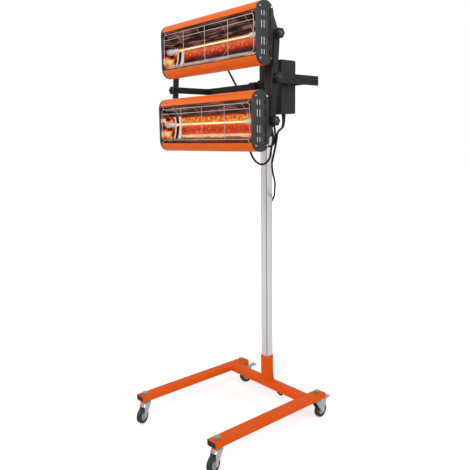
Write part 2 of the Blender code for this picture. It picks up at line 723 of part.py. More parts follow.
def build_caster(base, name, side, end):
    """One caster: stem, fork, wheel and, at the back, a brake pedal."""
    place = (side * RAIL_X, caster_place(end), 0)
    swivel = pivot(f"{name}_swivel", base, place, (0, 0, SWIVEL_ANGLES[name]))
    with_brake = end > 0
    piece(caster_stem(), f"{name}_caster_stem", swivel, "zinc_steel")
    piece(caster_fork(with_brake), f"{name}_caster_fork", swivel, "zinc_steel")
    axle = pivot(f"{name}_axle", swivel, (0, CASTER_TRAIL, AXLE_HEIGHT))
    piece(caster_wheel(), f"{name}_caster_wheel", axle, "tyre_rubber")
    if with_brake:
        pin = pivot(f"{name}_brake_pin", swivel, (0, PEDAL_PIN_BACK, PEDAL_PIN_HEIGHT))
        piece(brake_pedal(), f"{name}_brake_pedal", pin, "zinc_steel")


def build_base(base):
    for side, name in ((-1, "left"), (1, "right")):
        piece(rail(side), f"{name}_rail", base, "base_paint")
        for end, place in ((-1, "front"), (1, "rear")):
            piece(rail_plug(side, end), f"{name}_rail_{place}_plug", base, "black_plastic")
            build_caster(base, f"{place}_{name}", side, end)
    piece(crossbar(), "base_crossbar", base, "base_paint")
    piece(post_socket(), "post_socket", base, "base_paint")


# Post


def lead_at_post():
    """Where the mains lead's middle runs behind the post."""
    return POST_Y + LOWER_POST_SIDE / 2 + CLIP_WALL / 2 + SEAT_GAP + MAINS_DIAMETER / 2


def lower_post():
    """The square tube that stands in the socket, with the clip that holds the mains lead to its back."""
    low = RAIL_TOP + 2 * SEAT_GAP
    centre = (0, POST_Y)
    post = square_tube(
        LOWER_POST_SIDE, LOWER_POST_SIDE, LOWER_POST_WALL, POST_CORNER, low, LOWER_POST_TOP, "Z", centre
    )
    inside = MAINS_DIAMETER / 2 + SEAT_GAP
    half = CLIP_LENGTH / 2
    clip = cylinder(inside + CLIP_WALL + SEAT_GAP, CLIP_HEIGHT - half, CLIP_HEIGHT + half, "Z", 20, (0, lead_at_post()))
    hole_low, hole_high = CLIP_HEIGHT - half - OVERRUN, CLIP_HEIGHT + half + OVERRUN
    hole = cylinder(inside + SEAT_GAP / 3, hole_low, hole_high, "Z", 20, (0, lead_at_post()))
    inner = LOWER_POST_SIDE - 2 * LOWER_POST_WALL
    bore = prism(rounded(inner, inner, POST_CORNER / 3, centre), low + OVERRUN, LOWER_POST_TOP - OVERRUN, "Z")
    return joined(post, cut(clip, hole, bore))


def upper_post():
    """The square sleeve over the lower post, closed at its top, with the nut of the height clamp."""
    corner = POST_CORNER + SLEEVE_WALL
    tube = prism(rounded(SLEEVE_SIDE, SLEEVE_SIDE, corner, (0, POST_Y)), SLEEVE_BOTTOM, SLEEVE_TOP, "Z")
    inner = SLEEVE_SIDE - 2 * SLEEVE_WALL
    bore_outline = rounded(inner, inner, POST_CORNER, (0, POST_Y))
    bore = prism(bore_outline, SLEEVE_BOTTOM - OVERRUN, SLEEVE_TOP - SLEEVE_CAP, "Z")
    knob_z = SLEEVE_BOTTOM + HEIGHT_KNOB_ABOVE_END
    face = -SLEEVE_SIDE / 2
    nut_outline = rounded(SLEEVE_NUT_SIDE, SLEEVE_NUT_SIDE, POST_CORNER, (POST_Y, knob_z), 2)
    nut = prism(nut_outline, face - SLEEVE_NUT_DEPTH, face + SLEEVE_WALL / 2, "X")
    hole_end = face + SLEEVE_WALL + OVERRUN
    hole = cylinder(
        STUD_RADIUS + PIN_GAP, face - SLEEVE_NUT_DEPTH - OVERRUN, hole_end, "X", centre=(POST_Y, knob_z)
    )
    screw_x = SLEEVE_SIDE / 2 - STOP_SCREW_FROM_EDGE
    front = POST_Y - SLEEVE_SIDE / 2
    screw = cylinder(
        STOP_SCREW_RADIUS,
        front - STOP_SCREW_HEAD,
        front + SLEEVE_WALL / 2,
        "Y",
        12,
        (screw_x, ARM_HEIGHT + STOP_SCREW_ABOVE_ARMS),
    )
    return joined(cut(joined(tube, nut), bore, hole), screw)


def height_knob():
    """The clamp knob of the sleeve, whose stud bears on the lower post."""
    centre = (POST_Y, SLEEVE_BOTTOM + HEIGHT_KNOB_ABOVE_END)
    base = -SLEEVE_SIDE / 2 - SLEEVE_NUT_DEPTH - SEAT_GAP
    return knob_with_stud("X", base, -1, -LOWER_POST_SIDE / 2 - SEAT_GAP, STUD_RADIUS, centre)


def yoke_hub():
    """The collar round the sleeve, with the boss and stud that the yoke rolls on."""
    bore_side = SLEEVE_SIDE + 2 * SEAT_GAP
    side = bore_side + 2 * HUB_WALL
    low, high = ARM_HEIGHT - HUB_HALF_HEIGHT, ARM_HEIGHT + HUB_HALF_HEIGHT
    collar = prism(rounded(side, side, HUB_CORNER, (0, POST_Y)), low, high, "Z")
    boss_face = CROSSBAR_FRONT + BAR_SHEET + SEAT_GAP
    boss = cylinder(HUB_BOSS_RADIUS, boss_face, POST_Y - SLEEVE_SIDE / 2 - HUB_WALL / 2, "Y", 24, (0, ARM_HEIGHT))
    stud_end = CROSSBAR_FRONT - KNOB_THICK - PIVOT_STUD_PROUD
    stud = cylinder(PIVOT_STUD_RADIUS, stud_end, boss_face + HUB_WALL, "Y", centre=(0, ARM_HEIGHT))
    bore = rounded(bore_side, bore_side, POST_CORNER + SLEEVE_WALL, (0, POST_Y))
    return cut(joined(collar, boss, stud), prism(bore, low - OVERRUN, high + OVERRUN, "Z"))


def build_post(base, sleeve):
    piece(lower_post(), "lower_post", base, "silver_steel")
    piece(upper_post(), "upper_post", sleeve, "black_paint", (0, POST_Y, ARM_HEIGHT))
    piece(yoke_hub(), "yoke_hub", sleeve, "black_paint", (0, POST_Y, ARM_HEIGHT))
    clamp_height = SLEEVE_BOTTOM + HEIGHT_KNOB_ABOVE_END
    piece(height_knob(), "height_knob", sleeve, "black_plastic", (0, POST_Y, clamp_height))
    knob = knob_with_bore("Y", CROSSBAR_FRONT - SEAT_GAP, -1, PIVOT_STUD_RADIUS + PIN_GAP, (0, ARM_HEIGHT))
    piece(knob, "yoke_knob", sleeve, "black_plastic", (0, CROSSBAR_FRONT, ARM_HEIGHT))


# Yoke, built about the point where its roll axis crosses the middle plane, at the arms' height


def yoke_bar():
    """One flat bar: the left arm, a bend, the crossbar and a flange for the right arm."""
    left = -ARM_INNER - BAR_SHEET / 2
    right = ARM_INNER - SEAT_GAP - BAR_SHEET / 2
    middle = CROSSBAR_FRONT + BAR_SHEET / 2
    bend = BAR_BEND_RADIUS
    nose = MAST_PIVOT_Y - BAR_TALL / 2
    path = [(left, nose)]
    path += arc((left + bend, middle - bend), bend, 180, 90, 4)
    path += arc((right - bend, middle + bend), bend, -90, 0, 4)
    path.append((right, middle + BAR_FLANGE))
    bar = prism(sheet(path, BAR_SHEET), -BAR_TALL / 2, BAR_TALL / 2, "Z")
    past = BAR_TALL / 2 + OVERRUN
    back = middle + BAR_FLANGE + OVERRUN
    side = arc((MAST_PIVOT_Y, 0), BAR_TALL / 2, 90, 270, 12)
    side += [(MAST_PIVOT_Y, -past), (back, -past), (back, past), (MAST_PIVOT_Y, past)]
    bar = kept(bar, prism(side, -ARM_OUTER - OVERRUN, ARM_OUTER + OVERRUN, "X"))
    pivot_hole = cylinder(
        STUD_RADIUS + PIN_GAP, -ARM_OUTER - OVERRUN, -ARM_INNER + OVERRUN, "X", centre=(MAST_PIVOT_Y, 0)
    )
    hub_hole = cylinder(PIVOT_STUD_RADIUS + PIN_GAP, CROSSBAR_FRONT - OVERRUN, middle + BAR_SHEET, "Y", centre=(0, 0))
    rivet_holes = [
        cylinder(RIVET_RADIUS + PIN_GAP, right - BAR_SHEET, right + BAR_SHEET, "X", centre=(y, 0))
        for y in rivet_places()
    ]
    return cut(bar, together([pivot_hole, hub_hole] + rivet_holes))


def rivet_places():
    """How far back the two rivets of the right arm are."""
    last = RIGHT_ARM_REAR - RIVET_SPACING / 2
    return (last - RIVET_SPACING, last)


def right_arm():
    """A flat arm riveted to the yoke bar's flange."""
    half = RIGHT_ARM_TALL / 2
    outline = arc((MAST_PIVOT_Y, 0), half, 90, 270, 12)
    outline += [(RIGHT_ARM_REAR, -half), (RIGHT_ARM_REAR, half)]
    arm = prism(outline, ARM_INNER, ARM_OUTER, "X")
    flange_inner = ARM_INNER - SEAT_GAP - BAR_SHEET
    for y in rivet_places():
        rivet = turned(
            (
                (RIVET_HEAD_RADIUS, flange_inner - SEAT_GAP - RIVET_HEAD),
                (RIVET_HEAD_RADIUS, flange_inner - SEAT_GAP),
                (RIVET_RADIUS, flange_inner - SEAT_GAP),
                (RIVET_RADIUS, ARM_OUTER - BAR_SHEET / 2),
                (RIVET_HEAD_RADIUS, ARM_OUTER - BAR_SHEET / 2),
                (RIVET_HEAD_RADIUS, ARM_OUTER + RIVET_HEAD / 2),
                (RIVET_HEAD_RADIUS / 2, ARM_OUTER + RIVET_HEAD),
            ),
            "X",
            STUD_SIDES,
            (y, 0),
        )
        arm = joined(arm, rivet)
    hole = cylinder(STUD_RADIUS + PIN_GAP, ARM_INNER - OVERRUN, ARM_OUTER + OVERRUN, "X", centre=(MAST_PIVOT_Y, 0))
    return cut(arm, hole)


# Mast, built about the axis on which it tilts


def upright(side):
    """A flat upright with its pivot bolt and a hole at each lamp head."""
    height = 2 * (HEAD_PITCH + UPRIGHT_PAST_PIVOT)
    outline = rounded(UPRIGHT_WIDTH, height, UPRIGHT_WIDTH / 2 - SEAT_GAP, steps=6)
    bar = prism(outline, side * UPRIGHT_INNER, side * UPRIGHT_OUTER, "X")
    holes = [
        cylinder(
            STUD_RADIUS + PIN_GAP,
            side * (UPRIGHT_INNER - OVERRUN),
            side * (UPRIGHT_OUTER + OVERRUN),
            "X",
            centre=(0, z * HEAD_PITCH),
        )
        for z in (-1, 1)
    ]
    bar = cut(bar, together(holes))
    inner_end = UPRIGHT_INNER - BOLT_HEAD
    bolt = turned(
        (
            (BOLT_SOCKET_RADIUS, side * (inner_end + BOLT_SOCKET_DEPTH)),
            (BOLT_SOCKET_RADIUS, side * inner_end),
            (BOLT_HEAD_RADIUS - SEAT_GAP, side * inner_end),
            (BOLT_HEAD_RADIUS, side * (inner_end + SEAT_GAP)),
            (BOLT_HEAD_RADIUS, side * (UPRIGHT_INNER + UPRIGHT_SHEET / 3)),
            (STUD_RADIUS, side * (UPRIGHT_INNER + UPRIGHT_SHEET / 3)),
            (STUD_RADIUS, side * (ARM_OUTER + KNOB_THICK)),
        ),
        "X",
        STUD_SIDES,
    )
    return joined(bar, bolt)


def build_mast(yoke, mast):
    for side, name in ((-1, "left"), (1, "right")):
        piece(upright(side), f"{name}_upright", mast, "black_paint")
        knob = knob_with_bore("X", side * (ARM_OUTER + SEAT_GAP), side, STUD_RADIUS + PIN_GAP)
        piece(knob, f"{name}_arm_knob", mast, "black_plastic")
    piece(yoke_bar(), "yoke_bar", yoke, "black_paint")
    piece(right_arm(), "right_arm", yoke, "black_paint")


# Lamp heads, built about their tilt axis with the head's middle in front of it


def stadium(inset, steps=8):
    """The outline of the head's section, round at the top and bottom."""
    radius = HEAD_DEEP / 2
    rise = HEAD_TALL / 2 - radius
    top = arc((-HEAD_FORWARD, rise), radius - inset, 0, 180, steps)
    return top + arc((-HEAD_FORWARD, -rise), radius - inset, 180, 360, steps)


def head_shell(gland_side, lead_radius):
    """A sheet bent to a C, with lips that turn back into the opening and a gland for the lead."""
    radius = (HEAD_DEEP - SHELL_SHEET) / 2
    rise = (HEAD_TALL - HEAD_DEEP) / 2
    last = 180 - SHELL_LIP_ANGLE
    upper = arc((-HEAD_FORWARD, rise), radius, last, 0, 12)
    lower = arc((-HEAD_FORWARD, -rise), radius, 0, -last, 12)
    path = [(upper[0][0] + SHELL_RETURN, upper[0][1])] + upper + lower
    path.append((lower[-1][0] + SHELL_RETURN, lower[-1][1]))
    half = CAP_FACE - CAP_THICK - SEAT_GAP
    shell = prism(sheet(path, SHELL_SHEET), -half, half, "X")
    back = HEAD_DEEP / 2 - HEAD_FORWARD
    gland = turned(
        (
            (HEAD_GLAND_RADIUS, back - SHELL_SHEET / 2),
            (HEAD_GLAND_RADIUS, back + HEAD_GLAND_LENGTH * GLAND_HEX_SHARE),
            (HEAD_GLAND_RADIUS * GLAND_TIP_SHARE, back + HEAD_GLAND_LENGTH * GLAND_HEX_SHARE),
            (HEAD_GLAND_RADIUS * GLAND_TIP_SHARE, back + HEAD_GLAND_LENGTH),
        ),
        "Y",
        STUD_SIDES,
        (gland_side, 0),
    )
    bore_end = back + HEAD_GLAND_LENGTH + OVERRUN
    bore = cylinder(lead_radius + SEAT_GAP, back - SHELL_SHEET - OVERRUN, bore_end, "Y", centre=(gland_side, 0))
    return cut(joined(shell, gland), bore)


def reflector():
    """A bright parabolic trough behind the tube, with a lip along each edge."""
    depth = REFLECTOR_BACK - REFLECTOR_FRONT
    path = [(REFLECTOR_FRONT - HEAD_FORWARD, REFLECTOR_HALF_MOUTH + REFLECTOR_LIP)]
    for k in range(REFLECTOR_POINTS):
        share = 1 - 2 * k / (REFLECTOR_POINTS - 1)
        path.append((REFLECTOR_BACK - depth * share * share - HEAD_FORWARD, REFLECTOR_HALF_MOUTH * share))
    path.append((REFLECTOR_FRONT - HEAD_FORWARD, -REFLECTOR_HALF_MOUTH - REFLECTOR_LIP))
    half = CAP_FACE - CAP_THICK - SEAT_GAP
    return prism(sheet(path, REFLECTOR_SHEET), -half, half, "X")


def heat_tube():
    """The quartz tube with a ceramic end in each cap."""
    end = CAP_FACE - CAP_WALL - SEAT_GAP
    inner = end - CERAMIC_LENGTH
    side = (
        (CERAMIC_RADIUS, -end),
        (CERAMIC_RADIUS, -inner - CERAMIC_NECK),
        (CERAMIC_RADIUS - (CERAMIC_RADIUS - QUARTZ_RADIUS) / 2, -inner),
        (QUARTZ_RADIUS, -inner),
    )
    profile = list(side) + [(r, -x) for r, x in side[::-1]]
    return turned(profile, "X", STUD_SIDES, (TUBE_FORWARD - HEAD_FORWARD, 0))


def wire(start, end, radius):
    """A straight wire between two points."""
    start, end = Vector(start), Vector(end)
    way = (end - start).normalized()
    across = way.cross(Vector((1, 0, 0)) if abs(way.x) < abs(way.y) + abs(way.z) else Vector((0, 1, 0))).normalized()
    up = way.cross(across)
    rings = []
    for point in (start, end):
        angles = [2 * math.pi * (k + 0.5) / WIRE_SIDES for k in range(WIRE_SIDES)]
        rings.append([tuple(point + radius * (math.cos(a) * across + math.sin(a) * up)) for a in angles])
    return lofted(rings)


def grille():
    """The welded wire guard: a frame, its cross wires and legs that reach back to the lips."""
    y = GRILLE_AHEAD - HEAD_DEEP / 2 - HEAD_FORWARD
    path = rounded(2 * GRILLE_HALF_LENGTH, 2 * GRILLE_HALF_TALL, GRILLE_CORNER, steps=3)
    count = len(path)
    rings = []
    for k, (x, z) in enumerate(path):
        before, after = Vector(path[k - 1]), Vector(path[(k + 1) % count])
        out = Vector((after.y - before.y, before.x - after.x)).normalized()
        angles = [2 * math.pi * (i + 0.5) / WIRE_SIDES for i in range(WIRE_SIDES)]
        radii = [(WIRE_RADIUS * math.cos(a), WIRE_RADIUS * math.sin(a)) for a in angles]
        rings.append([(x + out.x * c, y + s, z + out.y * c) for c, s in radii])
    frame = lofted(rings, ring_shaped=True)
    thin = WIRE_RADIUS * THIN_WIRE_SHARE
    tools = []
    for k in range(1, GRILLE_BAYS):
        x = GRILLE_HALF_LENGTH * (2 * k / GRILLE_BAYS - 1)
        tools.append(wire((x, y, -GRILLE_HALF_TALL), (x, y, GRILLE_HALF_TALL), thin))
    for side in (-1, 1):
        for rise in (-1, 1):
            x = side * GRILLE_HALF_LENGTH
            z = rise * (GRILLE_HALF_TALL - GRILLE_CORNER)
            leg = Vector((side * GRILLE_LEG_OUT, GRILLE_LEG_BACK, rise * GRILLE_LEG_UP))
            corner = Vector((x - side * GRILLE_CORNER, y, rise * GRILLE_HALF_TALL))
            tools.append(wire(corner, corner + leg, thin))
    frame = joined(frame, together(tools))
    z = GRILLE_HALF_TALL - GRILLE_SECOND_WIRE
    return joined(frame, wire((-GRILLE_HALF_LENGTH, y, z), (GRILLE_HALF_LENGTH, y, z), WIRE_RADIUS * EVEN_THINNER_SHARE))


def end_cap(side):
    """A pressed cap with rows of slots, its triangular bracket, the tube's holder and four screws."""
    inner = CAP_FACE - CAP_THICK
    pan = prism(stadium(0), side * inner, side * CAP_FACE, "X")
    hollow = prism(stadium(CAP_WALL), side * (inner - OVERRUN), side * (CAP_FACE - CAP_WALL), "X")
    slots = []
    low, high = side * (inner - OVERRUN), side * (CAP_FACE + OVERRUN)
    for column in range(SLOT_COLUMNS):
        y = SLOT_PITCH * (column - (SLOT_COLUMNS - 1) / 2) - HEAD_FORWARD
        for bottom, top in SLOT_ROWS + (NOTCH_ROW,):
            for way in (-1, 1):
                width = NOTCH_WIDTH if (bottom, top) == NOTCH_ROW else SLOT_WIDTH
                slots.append(prism(slot(width, top - bottom, (y, way * (bottom + top) / 2), 2), low, high, "X"))
    cap = cut(pan, hollow, together(slots))
    edge = BRACKET_EDGE - HEAD_FORWARD
    corner = Vector((edge, BRACKET_TOP))
    touch = math.degrees(math.atan2(corner.y, corner.x) - math.acos(BRACKET_BOSS_RADIUS / corner.length))
    outline = [(edge, -BRACKET_TOP)] + arc((0, 0), BRACKET_BOSS_RADIUS, -touch, touch, 8) + [(edge, BRACKET_TOP)]
    plate = prism(outline, side * (CAP_FACE - BRACKET_SINK), side * BRACKET_FACE, "X")
    tube_centre = (TUBE_FORWARD - HEAD_FORWARD, 0)
    holder = turned(
        (
            (CERAMIC_RADIUS + PIN_GAP, side * (CAP_FACE - CAP_WALL / 2)),
            (HOLDER_RADIUS, side * (CAP_FACE - CAP_WALL / 2)),
            (HOLDER_RADIUS, side * (inner - HOLDER_REACH)),
            (CERAMIC_RADIUS + PIN_GAP, side * (inner - HOLDER_REACH)),
        ),
        "X",
        STUD_SIDES,
        tube_centre,
        ring_shaped=True,
    )
    cap = joined(cap, plate, holder)
    screws = []
    for way in (-1, 1):
        front = (-CAP_SCREW_ACROSS - HEAD_FORWARD, way * CAP_SCREW_UP)
        rear = (CAP_SCREW_ACROSS - HEAD_FORWARD, way * CAP_SCREW_UP)
        sunk = side * (CAP_FACE - CAP_WALL / 2)
        screws.append(cylinder(CAP_SCREW_RADIUS, sunk, side * (CAP_FACE + CAP_SCREW_HEAD), "X", 8, front))
        screws.append(cylinder(CAP_SCREW_RADIUS, sunk, side * (BRACKET_FACE + SEAT_GAP / 2), "X", 8, rear))
    cap = joined(cap, together(screws))
    hole = cylinder(STUD_RADIUS + PIN_GAP, side * (CAP_FACE - OVERRUN), side * (BRACKET_FACE + OVERRUN), "X")
    return cut(cap, hole)


def build_head(name, frame, gland_side):
    """One lamp head with its two clamp knobs."""
    piece(head_shell(gland_side, HEAD_LEAD_DIAMETER / 2), f"{name}_shell", frame, "orange_paint")
    piece(reflector(), f"{name}_reflector", frame, "polished_aluminium")
    piece(heat_tube(), f"{name}_tube", frame, "glowing_quartz")
    piece(grille(), f"{name}_grille", frame, "chrome_wire")
    for side, hand in ((-1, "left"), (1, "right")):
        piece(end_cap(side), f"{name}_{hand}_cap", frame, "black_paint")
        base = side * (UPRIGHT_OUTER + SEAT_GAP)
        knob = knob_with_stud("X", base, side, side * CAP_FACE, STUD_RADIUS)
        piece(knob, f"{name}_{hand}_knob", frame, "black_plastic")


# Control box, in the yoke's frame


def box_middle():
    """The middle of the box across and up."""
    return (BOX_RIGHT - BOX_WIDE / 2, BOX_TALL / 2 - BOX_BELOW_ARMS)


def control_box():
    """A box open to the back, with two bosses to the right arm and three cable glands below."""
    x, z = box_middle()
    back = BOX_FRONT + BOX_DEEP - COVER_SHEET - SEAT_GAP
    left = BOX_RIGHT - BOX_WIDE
    front = BOX_FRONT
    outline = arc((left + BOX_CORNER, front + BOX_CORNER), BOX_CORNER, 180, 270, 3)
    outline += arc((BOX_RIGHT - BOX_CORNER, front + BOX_CORNER), BOX_CORNER, 270, 360, 3)
    outline += [(BOX_RIGHT, back), (left, back)]
    low, high = z - BOX_TALL / 2, z + BOX_TALL / 2
    shell = prism(outline, low, high, "Z")
    wall = BOX_WALL
    hollow = box((left + wall, front + wall, low + wall), (BOX_RIGHT - wall, back + OVERRUN, high - wall))
    middle = front + BOX_DEEP / 2
    bosses = [
        cylinder(BOSS_RADIUS, BOX_RIGHT - wall / 2, ARM_INNER - SEAT_GAP, "X", 20, (middle + way * BOSS_SPACING / 2, 0))
        for way in (-1, 1)
    ]
    glands = []
    bores = []
    for place in GLAND_PLACES:
        tip = low - GLAND_LENGTH
        profile = (
            (GLAND_RADIUS * GLAND_TIP_SHARE, tip),
            (GLAND_RADIUS, tip + GLAND_LENGTH * GLAND_HEX_SHARE),
            (GLAND_RADIUS, low + wall / 2),
        )
        glands.append(turned(profile, "Z", STUD_SIDES, place))
        bore = MAINS_DIAMETER / 2 + SEAT_GAP
        bores.append(cylinder(bore, tip - OVERRUN, low + wall + OVERRUN, "Z", centre=place))
    shell = joined(cut(shell, hollow), together(bosses), together(glands))
    return cut(shell, together(bores))


def switch_places():
    """Where the two rocker switches sit on the cover."""
    x, z = box_middle()
    return [(x + way * SWITCH_SPACING / 2, z - SWITCH_BELOW_MIDDLE) for way in (-1, 1)]


def box_cover():
    """The back cover with the switches' bezels and the hole of the timer's spindle."""
    x, z = box_middle()
    back = BOX_FRONT + BOX_DEEP
    cover = prism(rounded(BOX_WIDE, BOX_TALL, BOX_CORNER, (x, z), 3), back - COVER_SHEET, back, "Y")
    outer_wide, outer_tall = SWITCH_WIDE + 2 * SWITCH_BEZEL, SWITCH_TALL + 2 * SWITCH_BEZEL
    low, high = back - COVER_SHEET - OVERRUN, back + SWITCH_BEZEL_PROUD + OVERRUN
    bezels = [
        prism(
            rounded(outer_wide, outer_tall, SWITCH_BEZEL, place, 2),
            back - COVER_SHEET / 2,
            back + SWITCH_BEZEL_PROUD,
            "Y",
        )
        for place in switch_places()
    ]
    openings = [prism(rounded(SWITCH_WIDE, SWITCH_TALL, SEAT_GAP, place, 1), low, high, "Y") for place in switch_places()]
    spindle = cylinder(DIAL_SPINDLE_RADIUS + PIN_GAP, low, high, "Y", centre=(x, z + DIAL_ABOVE_MIDDLE))
    return cut(joined(cover, together(bezels)), together(openings + [spindle]))


def timer_dial():
    """The timer's knob with its spindle and a raised pointer across the grip."""
    back = SEAT_GAP
    profile = (
        (DIAL_SPINDLE_RADIUS, -2 * COVER_SHEET),
        (DIAL_SPINDLE_RADIUS, back),
        (DIAL_RADIUS, back),
        (DIAL_RADIUS, back + DIAL_SKIRT / 2),
        (DIAL_RADIUS - DIAL_SKIRT, back + DIAL_SKIRT),
        (DIAL_GRIP_RADIUS, back + DIAL_SKIRT),
        (DIAL_GRIP_RADIUS * DIAL_TAPER_SHARE, back + DIAL_TALL),
    )
    dial = turned(profile, "Y", 28)
    half = DIAL_SPINDLE_RADIUS / 2
    pointer = box((-half, back + DIAL_SKIRT / 2, 0), (half, back + DIAL_TALL + DIAL_SKIRT / 3, DIAL_GRIP_RADIUS + half))
    return joined(dial, pointer)


def rocker():
    """A rocker about its pin, with a face of two shallow slopes."""
    reach = SWITCH_TALL / 2 - 2 * PIN_GAP + SEAT_GAP / 3
    face = SWITCH_BEZEL_PROUD
    dip = reach * math.tan(math.radians(SWITCH_ROCK))
    outline = (
        (face, reach),
        (face - dip, 0),
        (face, -reach),
        (-SWITCH_DEPTH / 2, -reach),
        (-SWITCH_DEPTH, -reach / 2),
        (-SWITCH_DEPTH, reach / 2),
        (-SWITCH_DEPTH / 2, reach),
    )
    half = SWITCH_WIDE / 2 - PIN_GAP
    return prism(outline, -half, half, "X")


def build_box(yoke):
    piece(control_box(), "control_box", yoke, "black_paint")
    piece(box_cover(), "box_cover", yoke, "black_paint")
    x, z = box_middle()
    back = BOX_FRONT + BOX_DEEP
    dial = pivot("timer_axis", yoke, (x, back, z + DIAL_ABOVE_MIDDLE))
    piece(timer_dial(), "timer_dial", dial, "black_plastic")
    for name, (across, up) in zip(("left", "right"), switch_places()):
        pin = pivot(f"{name}_switch_pin", yoke, (across, back, up), (SWITCH_ROCK, 0, 0))
        piece(rocker(), f"{name}_switch", pin, "black_plastic")


# Leads


def smooth_route(points, spacing):
    """A natural cubic spline through the points, with the place of each point in the finished route."""
    points = np.array(points, float)
    chord = np.linalg.norm(np.diff(points, axis=0), axis=1)
    count = len(points)
    system = np.zeros((count, count))
    right = np.zeros((count, 3))
    system[0, 0] = system[-1, -1] = 1
    for i in range(1, count - 1):
        before, after = chord[i - 1], chord[i]
        system[i, i - 1 : i + 2] = (before, 2 * (before + after), after)
        right[i] = 6 * ((points[i + 1] - points[i]) / after - (points[i] - points[i - 1]) / before)
    bend = np.linalg.solve(system, right)
    route, knots = [points[0]], [0]
    for i, length in enumerate(chord):
        steps = math.ceil(length / spacing)
        for k in range(1, steps + 1):
            b = k / steps
            a = 1 - b
            curve = ((a**3 - a) * bend[i] + (b**3 - b) * bend[i + 1]) * length * length / 6
            route.append(a * points[i] + b * points[i + 1] + curve)
        knots.append(len(route) - 1)
    return route, knots


def cable(name, route, diameter, parent, resolution=2):
    """A round cable along a route, its ends drawn in by half a seat gap."""
    route = [np.array(p, float) for p in route]
    for end, other in ((0, 1), (-1, -2)):
        way = route[other] - route[end]
        route[end] = route[end] + way / np.linalg.norm(way) * SEAT_GAP / 2
    curve = bpy.data.curves.new(name, "CURVE")
    curve.dimensions = "3D"
    curve.bevel_depth = diameter / 2
    curve.bevel_resolution = resolution
    curve.use_fill_caps = True
    spline = curve.splines.new("POLY")
    spline.points.add(len(route) - 1)
    for target, point in zip(spline.points, route):
        target.co = (*point, 1)
    spline.use_smooth = True
    curve.materials.append(principled(name, "black_cable"))
    obj = bpy.data.objects.new(name, curve)
    bpy.context.scene.collection.objects.link(obj)
    obj.parent = parent
    return obj


def hank_route():
    """The spare mains lead wound in two long loops and drawn in where a tie holds it, then its free end."""
    left, right = HANK_CENTRE_X - HANK_HALF_RUN, HANK_CENTRE_X + HANK_HALF_RUN
    inner, outer = HANK_FOLD_RADIUS, HANK_FOLD_RADIUS + HANK_SIDE_STEP
    middle = HANK_FRONT_Y + MAINS_DIAMETER / 2 + outer
    low = MAINS_DIAMETER / 2 + SEAT_GAP / 3
    high = low + HANK_LAYER_STEP
    route = []

    def run(start, end, side, radius, from_z, to_z):
        for k in range(HANK_RUN_STEPS):
            share = k / HANK_RUN_STEPS
            x = start + (end - start) * share
            waist = HANK_DRAW_IN * math.cos(math.pi * (x - HANK_CENTRE_X) / (right - left)) ** 2
            route.append((x, middle + side * (radius - waist), from_z + (to_z - from_z) * share))

    def fold(centre_x, centre_y, radius, start, end, z):
        points = arc((centre_x, centre_y), radius, start, end, HANK_FOLD_STEPS)[:-1]
        route.extend((x, y, z) for x, y in points)

    run(right, left, -1, outer, low, low)
    fold(left, middle, outer, 270, 90, low)
    run(left, right, 1, outer, low, low)
    fold(right, middle + (outer - inner) / 2, (outer + inner) / 2, 90, -90, low)
    run(right, left, -1, inner, low, high)
    fold(left, middle, inner, 270, 90, high)
    run(left, right, 1, inner, high, high)
    for k in range(HANK_TAIL_STEPS + 1):
        share = k / HANK_TAIL_STEPS
        ease = share * share * (3 - 2 * share)
        y = middle + inner + HANK_TAIL_SHIFT * ease
        plug_z = PLUG_TALL / 2 + SEAT_GAP / 3
        route.append((right + HANK_TAIL_LENGTH * share, y, high + (plug_z - high) * ease))
    x, y, z = route[-1]
    route.append((x + MAINS_DIAMETER, y, z))
    return route


def mains_plug(end):
    """A plug that lies on the floor with its blades along X, behind the end of the lead."""
    x, y, z = end
    x += SEAT_GAP
    sections = (
        (0, PLUG_TAPER / 2, PLUG_TAPER / 2, PLUG_CORNER / 2),
        (PLUG_TAPER, PLUG_WIDE * PLUG_SHOULDER_SHARE, PLUG_TALL * PLUG_SHOULDER_SHARE, PLUG_CORNER),
        (PLUG_TAPER + PLUG_CORNER, PLUG_WIDE, PLUG_TALL, PLUG_CORNER),
        (PLUG_TAPER + PLUG_BODY, PLUG_WIDE, PLUG_TALL, PLUG_CORNER),
    )
    rings = []
    for ahead, wide, tall, corner in sections:
        rings.append([(x + ahead, b, c) for b, c in rounded(wide, tall, corner, (y, z), 3)])
    plug = lofted(rings)
    face = x + PLUG_TAPER + PLUG_BODY
    pins = []
    for way in (-1, 1):
        middle = y + way * BLADE_SPACING / 2
        low = (face - BLADE_SHEET, middle - BLADE_SHEET / 2, z - BLADE_TALL / 2)
        pins.append(box(low, (face + BLADE_LENGTH, middle + BLADE_SHEET / 2, z + BLADE_TALL / 2)))
    pins.append(
        cylinder(EARTH_PIN_RADIUS, face - BLADE_SHEET, face + BLADE_LENGTH, "X", 12, (y, z - EARTH_PIN_DROP))
    )
    return joined(plug, together(pins))


def least_gap(route, diameter):
    """The smallest gap between parts of a route that lie more than three diameters apart along it."""
    points, _ = smooth_route(route, diameter / 3)
    points = np.array(points)
    along_route = np.concatenate(([0], np.cumsum(np.linalg.norm(np.diff(points, axis=0), axis=1))))
    distance = np.linalg.norm(points[:, None] - points[None], axis=2)
    apart = np.abs(along_route[:, None] - along_route[None]) > 3 * diameter
    return distance[apart].min() - diameter, along_route[-1]


def in_metres(points):
    return [tuple(value * mm for value in point) for point in points]


